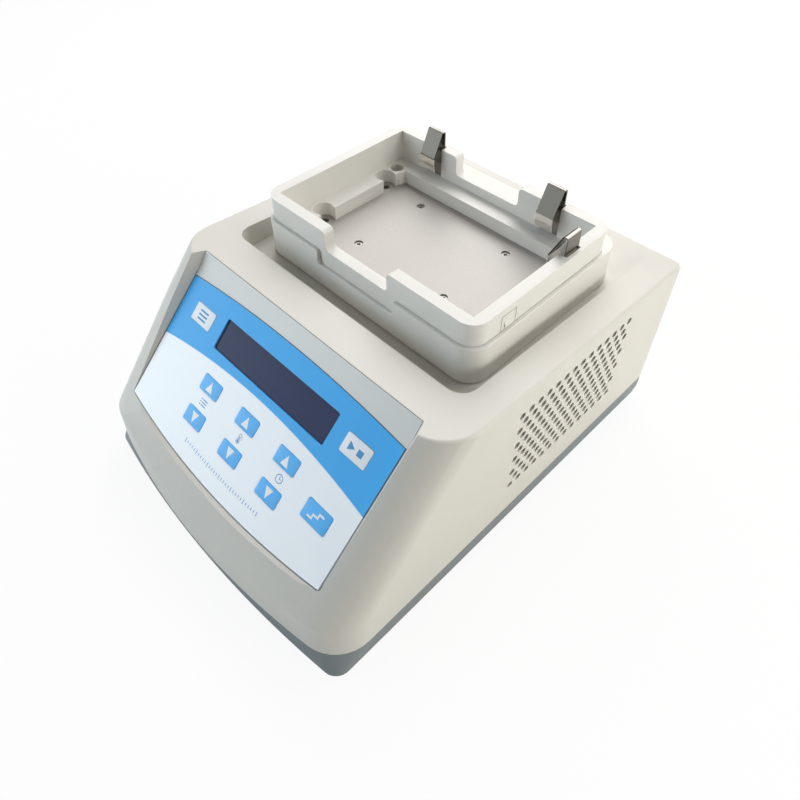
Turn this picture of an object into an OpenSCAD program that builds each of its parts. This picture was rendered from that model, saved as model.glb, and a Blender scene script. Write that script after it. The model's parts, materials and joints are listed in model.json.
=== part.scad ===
// Dry block heater: a bench-top heating and cooling bath for blocks of
// microplate size. X runs across it, the panel faces -Y, and Z is up.
// The origin is on the table, under the middle of the housing.

/* [Housing] */
// Width of the housing across its side walls
body_w = 199; // [196:1:206]
// Depth of the housing from the front bulge to the rear wall
body_d = 259; // [257:1:264]
// Height of the housing top at the front edge of the well
body_h = 110; // [108:0.5:113]
// Height of the parting line between the base and the shell
split_z = 16; // [15:0.5:18]
// Height of the base above the table
foot_show = 3.5; // [3:0.5:4.5]
// Wall thickness of the moulded shells
wall = 2.8; // [2.4:0.2:3.2]
// Fall of the top towards the rear, in degrees
top_fall = 2.9; // [2.4:0.1:3.2]
// Radius of the front bulge in plan, at the parting line
bulge_r = 440; // [400:10:500]
// Radius of the front bulge in plan, at the foot of the base
base_bulge_r = 640; // [560:10:700]
// Radius of the upright front corners, at the parting line
corner_r = 22; // [19:0.5:24]
// Radius of the front corners at the foot of the base
base_corner_r = 8.5; // [7:0.5:10]
// Radius of the upright rear corners
rear_r = 4.5; // [4.5:0.5:8]
// Height of the belly of the front face above the parting line
belly_h = 9; // [7:0.5:11]
// Set-back of the front face at the top of the belly
belly_in = 1.6; // [1.2:0.1:2.2]
// Radius along the upper edges
edge_r = 2; // [1.5:0.5:3]
// Length of the upward sweep under the rear edge of the base
sweep_l = 17; // [12:1:20]

/* [Panel] */
// Width of the printed panel
panel_w = 158.5; // [157:0.5:160]
// Length of the panel down the slope at its sides
panel_l = 74; // [73:0.5:75]
// Tilt of the panel from level, in degrees
panel_tilt = 43.5; // [42.5:0.5:44.5]
// Distance of the panel's top corners behind the front bulge
panel_back = 73.9; // [73:0.1:75]
// Drop of the panel's top corners below the housing top
panel_drop = 10.8; // [10.4:0.1:11.4]
// Rise of the panel's top edge at its middle
bow_top = 3.8; // [2:0.2:4]
// Drop of the panel's bottom edge at its middle
bow_bottom = 7.3; // [5:0.1:8]
// Run in plan of the silver strip above the panel's corners
band_run = 9.3; // [8.8:0.1:9.8]
// Distance of the ledge's front edge down the slope, at its middle
ledge_mid = 83.4; // [83:0.1:84.5]
// Distance of the ledge's front edge down the slope, at its ends
ledge_end = 76; // [75.6:0.1:76.6]
// Height of the cheeks above the panel's top corners
cheek_h = 6.3; // [5.8:0.1:6.8]
// Fall of the cheeks towards the panel's bottom corners
cheek_drop = 6.4; // [6:0.1:6.8]
// Slope of the cheeks' inner flanks, across the panel
cheek_flank = 3.7; // [2:0.1:4.5]
// Thickness of the printed membrane
overlay_t = 0.8; // [0.6:0.1:1]
// Thickness of the silver bezel plate
bezel_t = 2; // [1.8:0.1:2.4]
// Gap round the panel
panel_gap = 0.25; // [0.2:0.05:0.4]

/* [Display and keys] */
// Width of the display window
window_w = 86; // [82:1:88]
// Height of the display window down the slope
window_d = 17.2; // [16:0.2:18]
// Distance of the window's middle below the panel's top corners
window_v = 15.3; // [15:0.1:16]
// Depth of the window below the face of the panel
window_sink = 1.1; // [1.1:0.1:1.6]
// Width of the three lettered keys
key_w = 16; // [15:0.5:17]
// Height of the three lettered keys
key_d = 9.8; // [9:0.2:10.2]
// Width of the six arrow keys
arrow_w = 14.8; // [13.6:0.2:15.4]
// Height of the six arrow keys
arrow_d = 8.6; // [8:0.2:9]
// Distance of the outer keys from the panel's middle
side_key_x = 59.3; // [58.6:0.1:60.5]
// Distance of the upper outer keys down the slope
side_key_v = 14.8; // [14:0.2:16]
// Distance of the lower outer key down the slope
multi_key_v = 49.9; // [48:0.2:52]
// Spacing of the arrow columns
arrow_pitch = 31; // [30:0.5:31.5]
// Distance of the upper arrows down the slope
arrow_v = 40.6; // [40:0.1:42]
// Spacing of the arrow rows
arrow_row = 18.3; // [17.5:0.1:19]
// Travel of a key
key_travel = 0.5; // [0.3:0.1:0.6]

/* [Block tray] */
// Width of the space for the block
tray_w = 134; // [132:0.5:136]
// Depth of the space for the block
tray_d = 90; // [88:0.5:92]
// Distance of the tray's middle from the rear wall
tray_back = 87.7; // [87:0.1:89]
// Height of the rim above the housing top
rim_rise = 22; // [20:0.5:24]
// Depth of the heating plate below the rim
plate_drop = 25; // [24.5:0.5:26]
// Thickness of the heating plate
plate_t = 8; // [7:0.5:9]
// Wall thickness of the block frame
frame_wall = 6.2; // [5.8:0.1:6.8]
// Outer corner radius of the block frame
frame_r = 9; // [7:0.5:11]
// Height of the upper tier that stands out of the collar
tier_h = 13; // [12.5:0.5:14]
// Step between the block frame and the face of the collar
collar_step = 2.1; // [1.9:0.1:2.5]
// Extra depth of the collar behind the block frame
collar_back = 6.6; // [5:0.2:7.4]
// Width of the finger notches
notch_w = 44; // [42:1:48]
// Distance of the finger notches from the tray's middle, to the right
notch_x = -2.2; // [-3:0.1:0]
// Depth of the finger notches below the rim
notch_h = 11.3; // [10:0.1:12]
// Corner radius of the finger notches
notch_r = 2.5; // [2:0.5:4]
// Height of the shelves above the heating plate
shelf_h = 8; // [6:0.5:9]
// Width of the shelf along the left wall
shelf_w = 11; // [9:0.5:12]
// Width of the shelf along the rear wall
shelf_d = 10; // [9:0.5:11]
// Depth of the well round the tray, below the housing top
well_depth = 13.3; // [12.5:0.1:14]
// Gap between the collar and the front of the well
well_gap_front = 14.2; // [13:0.2:15]
// Gap between the collar and the sides of the well
well_gap_side = 7.4; // [6.6:0.2:8]
// Corner radius of the well
well_r = 9; // [7:0.5:11]

/* [Clips] */
// Width of a spring clip
clip_w = 10.4; // [9:0.2:11.4]
// Thickness of the spring steel
clip_t = 0.6; // [0.5:0.1:0.7]
// Height of the clips above the rim
clip_rise = 9.8; // [8:0.2:12]
// Distance of the rear clips from the tray's middle
clip_x = 41; // [39:0.5:43]
// Distance of the side clip behind the tray's middle
clip_y = 20.5; // [18:0.5:23]
// Reach of a clip's nose into the tray
clip_reach = 6.2; // [5:0.2:6.8]

/* [Vents] */
// Diameter of a vent hole
vent_d = 4; // [3.4:0.1:4.4]
// Spacing of the vent holes along a row
vent_pitch_y = 6.5; // [6.3:0.1:6.7]
// Spacing of the rows of vent holes
vent_pitch_z = 5.5; // [5.3:0.1:5.7]
// Holes in a full row
vent_cols = 14; // [10:1:14]
// Rows of vent holes
vent_rows = 11; // [7:1:11]
// Distance of the top row below the housing top
vent_drop = 15.8; // [15.5:0.1:18]

/* [Cooling] */
// Side of the square fan
fan_size = 80; // [80:1:81]
// Thickness of the fan
fan_t = 25; // [24:0.5:26]
// Spacing of the fan's screw holes
fan_pitch = 71.5; // [71.5:0.1:71.9]
// Height of the heat sink's fins
fin_h = 24; // [22:0.5:25]
// Thickness of the heat sink's base
sink_t = 7; // [6:0.5:7.5]
// Thickness of the thermoelectric modules
peltier_t = 3.9; // [3.6:0.1:4.2]

/* [Power entry] */
// Height of the power entry above the table
entry_z = 48; // [47:0.5:50]
// Distance of the mains inlet from the middle
inlet_x = 21; // [20.5:0.5:22]
// Distance of the power switch from the middle
switch_x = 27; // [26:0.5:28]
// Pull of the fuse drawer
drawer_pull = 12; // [8:1:14]
// Throw of the power rocker, in degrees
rocker_throw = 16; // [12:1:18]

/* [Hidden] */
$fn = 48;
// Overlap that lets one cut run through another
eps = 0.01;

// ---- Housing outline ----
front_y = -body_d / 2;
rear_y = body_d / 2;
corner_x = body_w / 2 - corner_r;
fall = tan(top_fall);
tilt = tan(panel_tilt);

// ---- Tray stack, from the middle of the tray outwards and downwards ----
tray_y = rear_y - tray_back;
frame_w = tray_w + 2 * frame_wall;
frame_d = tray_d + 2 * frame_wall;
collar_w = frame_w + 2 * collar_step;
collar_d = frame_d + 2 * collar_step;
collar_r = frame_r + collar_step;
well_front_y = tray_y - collar_d / 2 - well_gap_front;
well_w = collar_w + 2 * well_gap_side;
rim_z = body_h + rim_rise;
plate_z = rim_z - plate_drop;
floor_z = body_h - well_depth;
collar_z = rim_z - tier_h;
plate_bottom = plate_z - plate_t;
sink_z = plate_bottom - peltier_t;
fin_z = sink_z - sink_t - fin_h;
fan_z = fin_z - fan_t;
sink_w = tray_w - 26;
sink_d = tray_d - 10;
floor_hole = [sink_w + 4, sink_d + 3];
inner_screws = [tray_w / 2 - 36, tray_d / 2 - 21];
outer_screws = [tray_w / 2 - 7, tray_d / 2 - 21.5];
shelf_post = [-tray_w / 2 + 6.3, tray_d / 2 - 11];
post_r = 6.3;
scallop = 5.6;
rebate = 0.3;

// ---- Panel plane ----
panel_y = front_y + panel_back;
panel_z = top_z(panel_y) - panel_drop;
face_sink = 0.1;
bezel_top = -face_sink - overlay_t;
bezel_back = bezel_top - bezel_t;
band_start = bow_top + 0.4;
band_y0 = panel_y + band_start * cos(panel_tilt);
band_z0 = panel_z + band_start * sin(panel_tilt);
band_y1 = panel_y + band_run;
band_z1 = top_z(band_y1);
band_tilt = atan2(band_z1 - band_z0, band_y1 - band_y0);
band_top_v = band_run * cos(panel_tilt) + (band_z1 - panel_z) * sin(panel_tilt);
seat_w = 5;
board_gap = 6;
board_t = 1.6;
board_w = bezel_back - board_gap;
switch_w = bezel_back - 2.1;
lcd_w = bezel_back - 9.4;
lcd_x = window_w / 2 + 9.5;
lcd_v = window_d / 2 + 5.2;
low_r = 2;

// ---- Screws ----
m25 = 1.25;
m3 = 1.5;
m4 = 2;
bore_fit = 0.05;
boss_r = 5;
boss_x = body_w / 2 - wall - 4;
boss_front_y = front_y + 36.5;
boss_rear_y = rear_y - 16.5;
boss_h = 28;
base_floor = 2.5;
panel_screw_l = 5.6;
board_screw_l = 7;
supply_screw_l = 5.2;
head_sink = 7;
foot_x = 78;
foot_front_y = front_y + 50;
foot_rear_y = rear_y - 40;
foot_r = 8;
collar_screw_x = 55;

// ---- Spring clips: p is the distance into the wall from its inner face ----
groove_w = clip_w + 0.8;
groove_d = 4.4;
hook_p = 3;
foot_p = 0.6;
clip_top = rim_z + clip_rise;
shelf_z = plate_z + shelf_h;
pivot_p = 0.7;
bend_r = 0.9;
pivot_z = clip_top - clip_t / 2;
bend_z = rim_z - 4.2;
nose_z = rim_z - 8;
lip_z = rim_z - 12;

// ---- Power entry ----
entry_sink = 3.8;
entry_y = rear_y - entry_sink;
entry_w = 104;
entry_h = 42;
entry_back = wall;
inlet_flange = [50, 34, 2.4];
inlet_body = [28.4, 30];
socket = [24.4, 16.8, 15];
socket_dz = 5.6;
drawer = [19.4, 6, 15];
drawer_dz = -9;
switch_hole = [13, 19.4];
rocker_y = entry_y + 0.2;

// Height of the sloping top at y
function top_z(y) = body_h - (y - (rear_y - tray_back - collar_d / 2 - well_gap_front)) * tan(top_fall);
// Set-back of the front bulge at x
function sag(x) = bulge_r - sqrt(bulge_r * bulge_r - x * x);
// Brow where the top meets the cheeks' plane, both moved in by t
function brow_y(t) = (body_h + well_front_y * fall - t / cos(top_fall) - panel_z
    - (cheek_h - t) / cos(panel_tilt) + panel_y * tilt) / (tilt + fall);
// Height of the cheeks above the panel's plane, v down the slope
function cheek_w(v) = cheek_h - cheek_drop * v / panel_l;
// Distance of the ledge's front edge down the slope at x
function ledge_v(x) = ledge_mid - (ledge_mid - ledge_end) * pow(2 * x / panel_w, 2);
// Distance of the panel's bowed bottom edge down the slope at x
function foot_v(x) = let (half = panel_w / 2, r = (half * half + bow_bottom * bow_bottom) / (2 * bow_bottom))
    panel_l + bow_bottom - r + sqrt(r * r - x * x);
// Height of the ledge's front edge above the panel's plane at x, which keeps the ledge level
function ledge_rise(x) = (ledge_v(x) - foot_v(x)) * tilt * (1 - pow(2 * x / panel_w, 4));
// Points of an arc
function arc(x, y, r, a0, a1, n) = [for (i = [0:n]) let (a = a0 + (a1 - a0) * i / n) [x + r * cos(a), y + r * sin(a)]];
// Plan of the housing, moved in by t: front corners r, front bulge rb, rear corners
function outline(t, r, rb, y0) =
    let (cx = body_w / 2 - r, by = y0 + rb, cy = by - sqrt(pow(rb - r, 2) - cx * cx), a = atan2(cy - by, cx) + 360)
    concat(
        arc(-cx, cy, r - t, 180, 540 - a, 8),
        arc(0, by, rb - t, 540 - a, a, 24),
        arc(cx, cy, r - t, a, 360, 8),
        arc(body_w / 2 - rear_r, rear_y - rear_r, rear_r - t, 0, 90, 6),
        arc(rear_r - body_w / 2, rear_y - rear_r, rear_r - t, 90, 180, 6));
// Plan at the parting line, moved in by t
function plan(t) = outline(t, corner_r, bulge_r, front_y);
// Plan at the foot of the base, moved in by t
function base_plan(t) = outline(t, base_corner_r, base_bulge_r, front_y + 0.7);

// ---- Shared shapes ----
// Rectangle with round corners, about its middle
module rounded(w, d, r) {
    square([w - 2 * r, d], center = true);
    square([w, d - 2 * r], center = true);
    for (x = [-1, 1], y = [-1, 1])
        translate([x * (w / 2 - r), y * (d / 2 - r)]) circle(r);
}

// Side outline drawn in Y and Z, drawn out along X
module across(w) {
    rotate([90, 0, 90]) linear_extrude(w, center = true) children();
}

// Moves its children onto the panel: Y up the slope, Z out of its face
module on_panel(x = 0, v = 0, w = 0) {
    translate([0, panel_y, panel_z]) rotate([panel_tilt, 0, 0]) translate([x, -v, w]) children();
}

// Ring that rounds an upper corner of the housing
module corner_ring(x, y, r, e, z, a) {
    translate([x, y, z]) rotate([a, 0, 0])
        rotate_extrude($fn = 40) translate([max(r - e, 0.2), 0]) circle(e, $fn = 24);
}

// Solid form of the shell, moved in by t on every side
module shell_form(t, e, bottom) {
    top_y = brow_y(t + e) + corner_r - t - e;
    rear_top_y = rear_y - rear_r;
    rear_e = min(e, 0.49 * (rear_r - t));
    hull() {
        translate([0, 0, bottom]) linear_extrude(split_z + 0.5 - bottom) polygon(plan(t));
        translate([0, 0, split_z + belly_h]) linear_extrude(eps) polygon(plan(t + belly_in));
        for (s = [-1, 1]) {
            corner_ring(s * corner_x, top_y, corner_r - t, e, top_z(top_y) - (t + e) / cos(top_fall), -top_fall);
            corner_ring(s * (body_w / 2 - rear_r), rear_top_y, rear_r - t, rear_e,
                top_z(rear_top_y) - (t + rear_e) / cos(top_fall), -top_fall);
            for (v = [20, 40, 54, 65, 74, 83, 91])
                cheek_disc(s, v, t);
        }
        for (i = [-6:6])
            on_panel(i * 11, ledge_v(i * 11) - 0.6 - 0.15 * t, -0.6 - t + (t > 0 ? 0 : ledge_rise(i * 11)))
                sphere(0.6, $fn = 16);
    }
}

// Level ledge below the panel: what the cut above the panel leaves standing
module ledge_body() {
    n = 24;
    rows = [for (i = [0:n]) let (x = (2 * i / n - 1) * (panel_w / 2 - 1), v0 = foot_v(x), v1 = ledge_v(x),
        w = ledge_rise(x)) [[x, -v0, -6], [x, -v0, 0], [x, -v1, w], [x, -v1 - 30, w], [x, -v1 - 30, -6]]];
    sides = [for (i = [0:n - 1], k = [0:4]) let (a = i * 5 + k, b = i * 5 + (k + 1) % 5)
        each [[a, a + 5, b + 5], [a, b + 5, b]]];
    on_panel() polyhedron([for (r = rows) each r],
        concat([[0, 1, 2, 3, 4], [for (k = [4:-1:0]) n * 5 + k]], sides));
}

// Level disc that touches the cheek's surface v down the slope, on side s
module cheek_disc(s, v, t) {
    y = panel_y - v * cos(panel_tilt) - (cheek_w(v) - t) * sin(panel_tilt);
    z = panel_z - v * sin(panel_tilt) + (cheek_w(v) - t) * cos(panel_tilt);
    translate([s * corner_x, y + corner_r - t, z]) cylinder(h = eps, r = corner_r - t, $fn = 40);
}

// Space above the panel and the silver strip, from depth w, between flanks
module above_face(w, half, flank) {
    section = [[-half, 0], [half, 0], [half + flank, cheek_h - w], [half + flank, 60],
        [-half - flank, 60], [-half - flank, cheek_h - w]];
    intersection() {
        on_panel(0, 0, w) rotate([90, 0, 0]) linear_extrude(260, center = true) polygon(section);
        translate([0, band_y0, band_z0]) rotate([band_tilt, 0, 0]) translate([-150, -150, w]) cube([300, 300, 80]);
    }
}

// Outline of the printed panel, grown by g
module panel_outline(g) {
    half = panel_w / 2;
    r_top = (half * half + bow_top * bow_top) / (2 * bow_top);
    intersection() {
        translate([-half - g, -panel_l - bow_bottom - g]) square([panel_w + 2 * g, panel_l + bow_bottom + bow_top + 2 * g]);
        translate([0, bow_top - r_top]) circle(r_top + g, $fn = 96);
        low_bow(g);
    }
}

// Area above the panel's bowed bottom edge, its corners rounded, grown by g
module low_bow(g) {
    half = panel_w / 2;
    r_low = (half * half + bow_bottom * bow_bottom) / (2 * bow_bottom);
    mid = r_low - panel_l - bow_bottom;
    y = mid - sqrt(pow(r_low - low_r, 2) - pow(half - low_r, 2));
    difference() {
        translate([0, mid]) circle(r_low + g, $fn = 96);
        for (s = [-1, 1])
            translate([s * (half - low_r), y]) difference() {
                translate([s > 0 ? 0 : -20, -20]) square(20);
                circle(low_r + g);
            }
    }
}

// Outline of the bezel plate: the panel's own and the strip above it
module bezel_outline(g) {
    half = panel_w / 2;
    intersection() {
        translate([-half - g, -panel_l - bow_bottom - g])
            square([panel_w + 2 * g, panel_l + bow_bottom + band_top_v + 2 * g]);
        low_bow(g);
    }
}

// Window behind the bezel for the display, the keys and their board
module seat_window() {
    offset_y = -seat_w;
    translate([-panel_w / 2 + seat_w, -panel_l + offset_y + 9]) square([panel_w - 2 * seat_w, panel_l - 2]);
}

// Well round the tray: level floor, then a ramp that runs out at the rear
module well(g) {
    ramp_y0 = tray_y + collar_d / 2 + collar_back + 1;
    ramp_y1 = rear_y - 8;
    slope = (top_z(ramp_y1) - floor_z) / (ramp_y1 - ramp_y0);
    far = rear_y + 30;
    intersection() {
        across(well_w + 2 * g) polygon([[well_front_y - g, floor_z - g], [ramp_y0, floor_z - g],
            [far, floor_z - g + slope * (far - ramp_y0)], [far, rim_z + 60], [well_front_y - g, rim_z + 60]]);
        linear_extrude(rim_z + 60) union() {
            translate([0, far / 2 + well_front_y / 2 + well_r / 2])
                square([well_w + 2 * g, far - well_front_y - well_r], center = true);
            translate([0, well_front_y + well_r / 2 - g / 2])
                square([well_w - 2 * well_r, well_r + g + eps], center = true);
            for (s = [-1, 1])
                translate([s * (well_w / 2 - well_r), well_front_y + well_r]) circle(well_r + g);
        }
    }
}

// Four mirrored places
module four(x, y) {
    for (sx = [-1, 1], sy = [-1, 1])
        translate([sx * x, sy * y, 0]) children();
}

// Places of the screws that join the base to the shell
module boss_places() {
    for (s = [-1, 1], y = [boss_front_y, boss_rear_y])
        translate([s * boss_x, y, 0]) children();
}

// Pan-head screw with a cross recess, head down, shank up
module screw_up(r, length, head_r, head_h) {
    difference() {
        union() {
            cylinder(h = length, r = r);
            translate([0, 0, -head_h]) cylinder(h = head_h, r = head_r);
        }
        for (a = [0, 90])
            rotate([0, 0, a]) translate([-head_r * 0.55, -0.35, -head_h - eps]) cube([head_r * 1.1, 0.7, head_h * 0.6]);
    }
}

// ---- Housing ----
// Side outline of the base, moved in by t, swept up at the rear
module base_side(t) {
    rise = split_z - foot_show;
    polygon(concat([[front_y - 5, foot_show + t]],
        [for (i = [0:10]) [rear_y - sweep_l + (sweep_l - t) * sin(9 * i), split_z - (rise - t) * cos(9 * i)]],
        [[rear_y - t, split_z + 8], [front_y - 5, split_z + 8]]));
}

// Base pan with its floor slots, lip, bosses and board posts
module lower_housing() {
    bevel = 1.4;
    color([0.47, 0.49, 0.49]) difference() {
        union() {
            difference() {
                intersection() {
                    hull() {
                        translate([0, 0, foot_show]) linear_extrude(0.1) polygon(base_plan(bevel));
                        translate([0, 0, foot_show + bevel]) linear_extrude(0.1) polygon(base_plan(0));
                        translate([0, 0, split_z - 0.3]) linear_extrude(0.3) polygon(plan(0));
                    }
                    across(body_w + 20) base_side(0);
                }
                intersection() {
                    translate([0, 0, foot_show + base_floor]) linear_extrude(split_z) polygon(plan(wall));
                    across(body_w + 20) base_side(wall);
                }
            }
            // lip that lines up the shell
            difference() {
                union() {
                    translate([0, 0, split_z - 4]) linear_extrude(5.8) difference() {
                        polygon(plan(wall + 0.3));
                        polygon(plan(wall + 1.5));
                    }
                    translate([0, 0, split_z - 3.5]) linear_extrude(3) difference() {
                        polygon(plan(wall - 0.6));
                        polygon(plan(wall + 1));
                    }
                }
                boss_places() translate([0, 0, split_z - 5]) cylinder(h = 60, r = boss_r + 0.4);
            }
            boss_places() translate([0, 0, foot_show + 1]) cylinder(h = split_z - foot_show - 1, r = boss_r);
            board_posts() translate([0, 0, foot_show + 1]) cylinder(h = board_z - foot_show - 1, r = 3);
            supply_posts() translate([0, 0, foot_show + 1]) cylinder(h = supply_z - foot_show - 1, r = 3.4);
        }
        boss_places() cylinder(h = 60, r = m3 + 0.2);
        boss_places() translate([0, 0, -eps]) cylinder(h = foot_show + head_sink, r = 3.4);
        board_posts() translate([0, 0, foot_show + 2]) cylinder(h = 40, r = m25 + bore_fit);
        supply_posts() translate([0, 0, foot_show + 2]) cylinder(h = 40, r = m3 + bore_fit);
        for (s = [-1, 1], y = [foot_front_y, foot_rear_y])
            translate([s * foot_x, y, 0]) cylinder(h = 40, r = 2.7);
        // air intake below the fan
        for (i = [-5:5])
            translate([i * 7, tray_y, foot_show + 5])
                cube([3.2, 2 * sqrt(pow(fan_size / 2 - 2, 2) - pow(i * 7, 2)), 20], center = true);
    }
}

// Ivory shell with cheeks, panel seat, well, vents and the power entry
module upper_housing() {
    color([0.88, 0.87, 0.83]) difference() {
        union() {
            difference() {
                shell_form(0, edge_r, split_z);
                difference() {
                    shell_form(wall, max(edge_r - wall / 2, 0.4), split_z - 1);
                    above_face(bezel_back - wall, panel_w / 2 + wall, cheek_flank);
                    well(wall);
                    translate([-entry_w / 2 - wall, entry_y - entry_back, entry_z - entry_h / 2 - wall])
                        cube([entry_w + 2 * wall, entry_sink + 20, entry_h + 2 * wall]);
                }
            }
            boss_places() translate([0, 0, split_z]) cylinder(h = boss_h, r = boss_r);
            // bosses under the well for the screws of the heating plate
            translate([0, tray_y, floor_z - wall - 8]) four(outer_screws[0], outer_screws[1])
                cylinder(h = 9, r = 3.8);
        }
        difference() {
            above_face(0, panel_w / 2 + 0.05, cheek_flank);
            ledge_body();
        }
        intersection() {
            above_face(bezel_back, panel_w / 2 + panel_gap, 0);
            on_panel(0, 0, -30) linear_extrude(80) bezel_outline(panel_gap);
        }
        on_panel(0, 0, -30) linear_extrude(32) seat_window();
        well(0);
        // opening under the heating plate
        translate([0, tray_y, floor_z - 12])
            linear_extrude(20) square(floor_hole, center = true);
        translate([0, tray_y, floor_z - 30]) four(outer_screws[0], outer_screws[1])
            cylinder(h = 60, r = m25 + bore_fit);
        translate([0, tray_y, floor_z - 12]) four(collar_screw_x, tray_d / 2 + frame_wall / 2)
            cylinder(h = 30, r = m25 + 0.2);
        boss_places() translate([0, 0, split_z - 2]) cylinder(h = boss_h, r = m3 + bore_fit);
        // power entry
        translate([-entry_w / 2, entry_y, entry_z - entry_h / 2]) cube([entry_w, 20, entry_h]);
        translate([-inlet_x, entry_y, entry_z])
            cube([inlet_body[0] + 0.4, 20, inlet_body[1] + 0.4], center = true);
        translate([switch_x, entry_y, entry_z])
            cube([switch_hole[0] + 0.4, 20, switch_hole[1] + 0.4], center = true);
        vents();
    }
}

// Vent holes through both side walls, in staggered rows
module vents() {
    start = tray_y - 3.4 - vent_pitch_y * (vent_cols - 1) / 2;
    for (s = [-1, 1], j = [0:vent_rows - 1], i = [0:vent_cols - 1 - j % 2])
        translate([s * body_w / 2, start + vent_pitch_y * (i + (j % 2) / 2), body_h - vent_drop - vent_pitch_z * j])
            rotate([0, 90, 0]) cylinder(h = 3 * wall, r = vent_d / 2, center = true, $fn = 20);
}

// ---- Panel ----
// Silver plate that carries the membrane; its strip shows above it
module front_bezel() {
    color([0.72, 0.75, 0.77]) union() {
        difference() {
            intersection() {
                difference() {
                    above_face(bezel_back, panel_w / 2, 0);
                    above_face(0, panel_w / 2 + 5, 0);
                }
                on_panel(0, 0, -30) linear_extrude(80) bezel_outline(0);
            }
            on_panel(0, 0, bezel_top) linear_extrude(5) panel_outline(0.15);
            on_panel(0, window_v, -20) linear_extrude(40) rounded(window_w, window_d, 1.2);
            key_openings(0.3, -20);
        }
        // drilled posts for the key board and the display module
        panel_posts() drilled_post(board_w, board_gap + 0.5);
        lcd_posts() drilled_post(lcd_w, bezel_back - lcd_w + 0.5);
    }
}

// Post from depth w up, with a blind bore for its screw
module drilled_post(w, height) {
    translate([0, 0, w]) difference() {
        cylinder(h = height, r = 2.5);
        translate([0, 0, -1]) cylinder(h = 5.4, r = m25 + bore_fit);
    }
}

// Places of the posts behind the bezel: the key board's
module panel_posts() {
    for (s = [-1, 1])
        for (p = [[panel_w / 2 - 8.75, 34], [panel_w / 2 - 8.75, 64.5], [arrow_pitch / 2, 36], [arrow_pitch / 2, 66]])
            on_panel(s * p[0], p[1]) children();
}

// Places of the posts behind the bezel: the display module's
module lcd_posts() {
    for (s = [-1, 1])
        for (p = [[lcd_x, window_v - lcd_v], [lcd_x, window_v + lcd_v]])
            on_panel(s * p[0], p[1]) children();
}

// Cuts for all nine keys, grown by g, from depth w
module key_openings(g, w) {
    for (k = [[-side_key_x, side_key_v], [side_key_x, side_key_v], [side_key_x, multi_key_v]])
        on_panel(k[0], k[1], w) linear_extrude(40) rounded(key_w + 2 * g, key_d + 2 * g, 1.2);
    for (i = [-1:1], j = [0:1])
        on_panel(i * arrow_pitch, arrow_v + j * arrow_row, w)
            linear_extrude(40) rounded(arrow_w + 2 * g, arrow_d + 2 * g, 1.2);
}

// Printed membrane with its cut-outs
module panel_overlay() {
    color([0.3, 0.64, 0.94]) difference() {
        on_panel(0, 0, bezel_top) linear_extrude(overlay_t) panel_outline(0);
        on_panel(0, window_v, -20) linear_extrude(40) rounded(window_w, window_d, 1.2);
        key_openings(0.2, -20);
    }
}

// Smoked window with a flange that bears on the back of the bezel
module display_window() {
    color([0.2, 0.22, 0.36]) union() {
        on_panel(0, window_v, bezel_back - 0.1) linear_extrude(-window_sink - bezel_back + 0.1)
            rounded(window_w - 0.3, window_d - 0.3, 1.1);
        on_panel(0, window_v, bezel_back - 1) linear_extrude(1) rounded(window_w + 4, window_d + 3, 1.2);
    }
}

// Key: cap through the bezel, flange behind it and stem to its switch
module key(x, v, w, d, tint) {
    color(tint) on_panel(x, v) union() {
        translate([0, 0, bezel_back - 0.3]) linear_extrude(0.05 - bezel_back + 0.3) rounded(w, d, 1);
        translate([0, 0, bezel_back - 0.9]) linear_extrude(0.8) rounded(w + 2, d + 2, 1.2);
        translate([0, 0, switch_w + key_travel + 0.1]) cylinder(h = bezel_back - switch_w - key_travel - 0.5, r = 2);
    }
}

module key_option() { key(-side_key_x, side_key_v, key_w, key_d, [0.9, 0.92, 0.95]); }
module key_start_stop() { key(side_key_x, side_key_v, key_w, key_d, [0.9, 0.92, 0.95]); }
module key_multi_step() { key(side_key_x, multi_key_v, key_w, key_d, [0.25, 0.6, 0.92]); }
// Arrow key in column i, row j
module arrow_key(i, j) {
    key(i * arrow_pitch, arrow_v + j * arrow_row, arrow_w, arrow_d, [0.25, 0.6, 0.92]);
}

// Display module: metal frame with the glass, on its own board
module display_module() {
    can_top = bezel_back - 1.4;
    color([0.15, 0.3, 0.2]) union() {
        on_panel(0, window_v, lcd_w - board_t) linear_extrude(board_t) difference() {
            square([2 * lcd_x + 8, 2 * lcd_v + 7.4], center = true);
            for (s = [-1, 1], t = [-1, 1]) translate([s * lcd_x, t * lcd_v]) circle(m25 + 0.2);
        }
        on_panel(0, window_v, lcd_w - eps) linear_extrude(can_top - lcd_w)
            square([window_w + 13, window_d + 5.8], center = true);
    }
}

// Key board with nine push switches, cut out round the display
module key_board() {
    color([0.1, 0.35, 0.2]) union() {
        difference() {
            on_panel(0, 0, board_w - board_t) linear_extrude(board_t) difference() {
                translate([6.25 - panel_w / 2, 5 - panel_l]) square([panel_w - 12.5, panel_l - 13]);
                translate([-window_w / 2 - 7.5, -window_v - 16.7]) square([window_w + 15, 30]);
                for (s = [-1, 1]) translate([s * lcd_x, -window_v - lcd_v]) circle(3.4);
            }
            panel_posts() translate([0, 0, board_w - 5]) cylinder(h = 10, r = m25 + 0.2);
        }
        for (k = [[-side_key_x, side_key_v], [side_key_x, side_key_v], [side_key_x, multi_key_v]])
            push_switch(k[0], k[1]);
        for (i = [-1:1], j = [0:1])
            push_switch(i * arrow_pitch, arrow_v + j * arrow_row);
    }
}

// Push switch below a key
module push_switch(x, v) {
    on_panel(x, v, board_w - eps) union() {
        translate([-3, -3, 0]) cube([6, 6, 3]);
        cylinder(h = switch_w - board_w, r = 1.7);
    }
}

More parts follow.
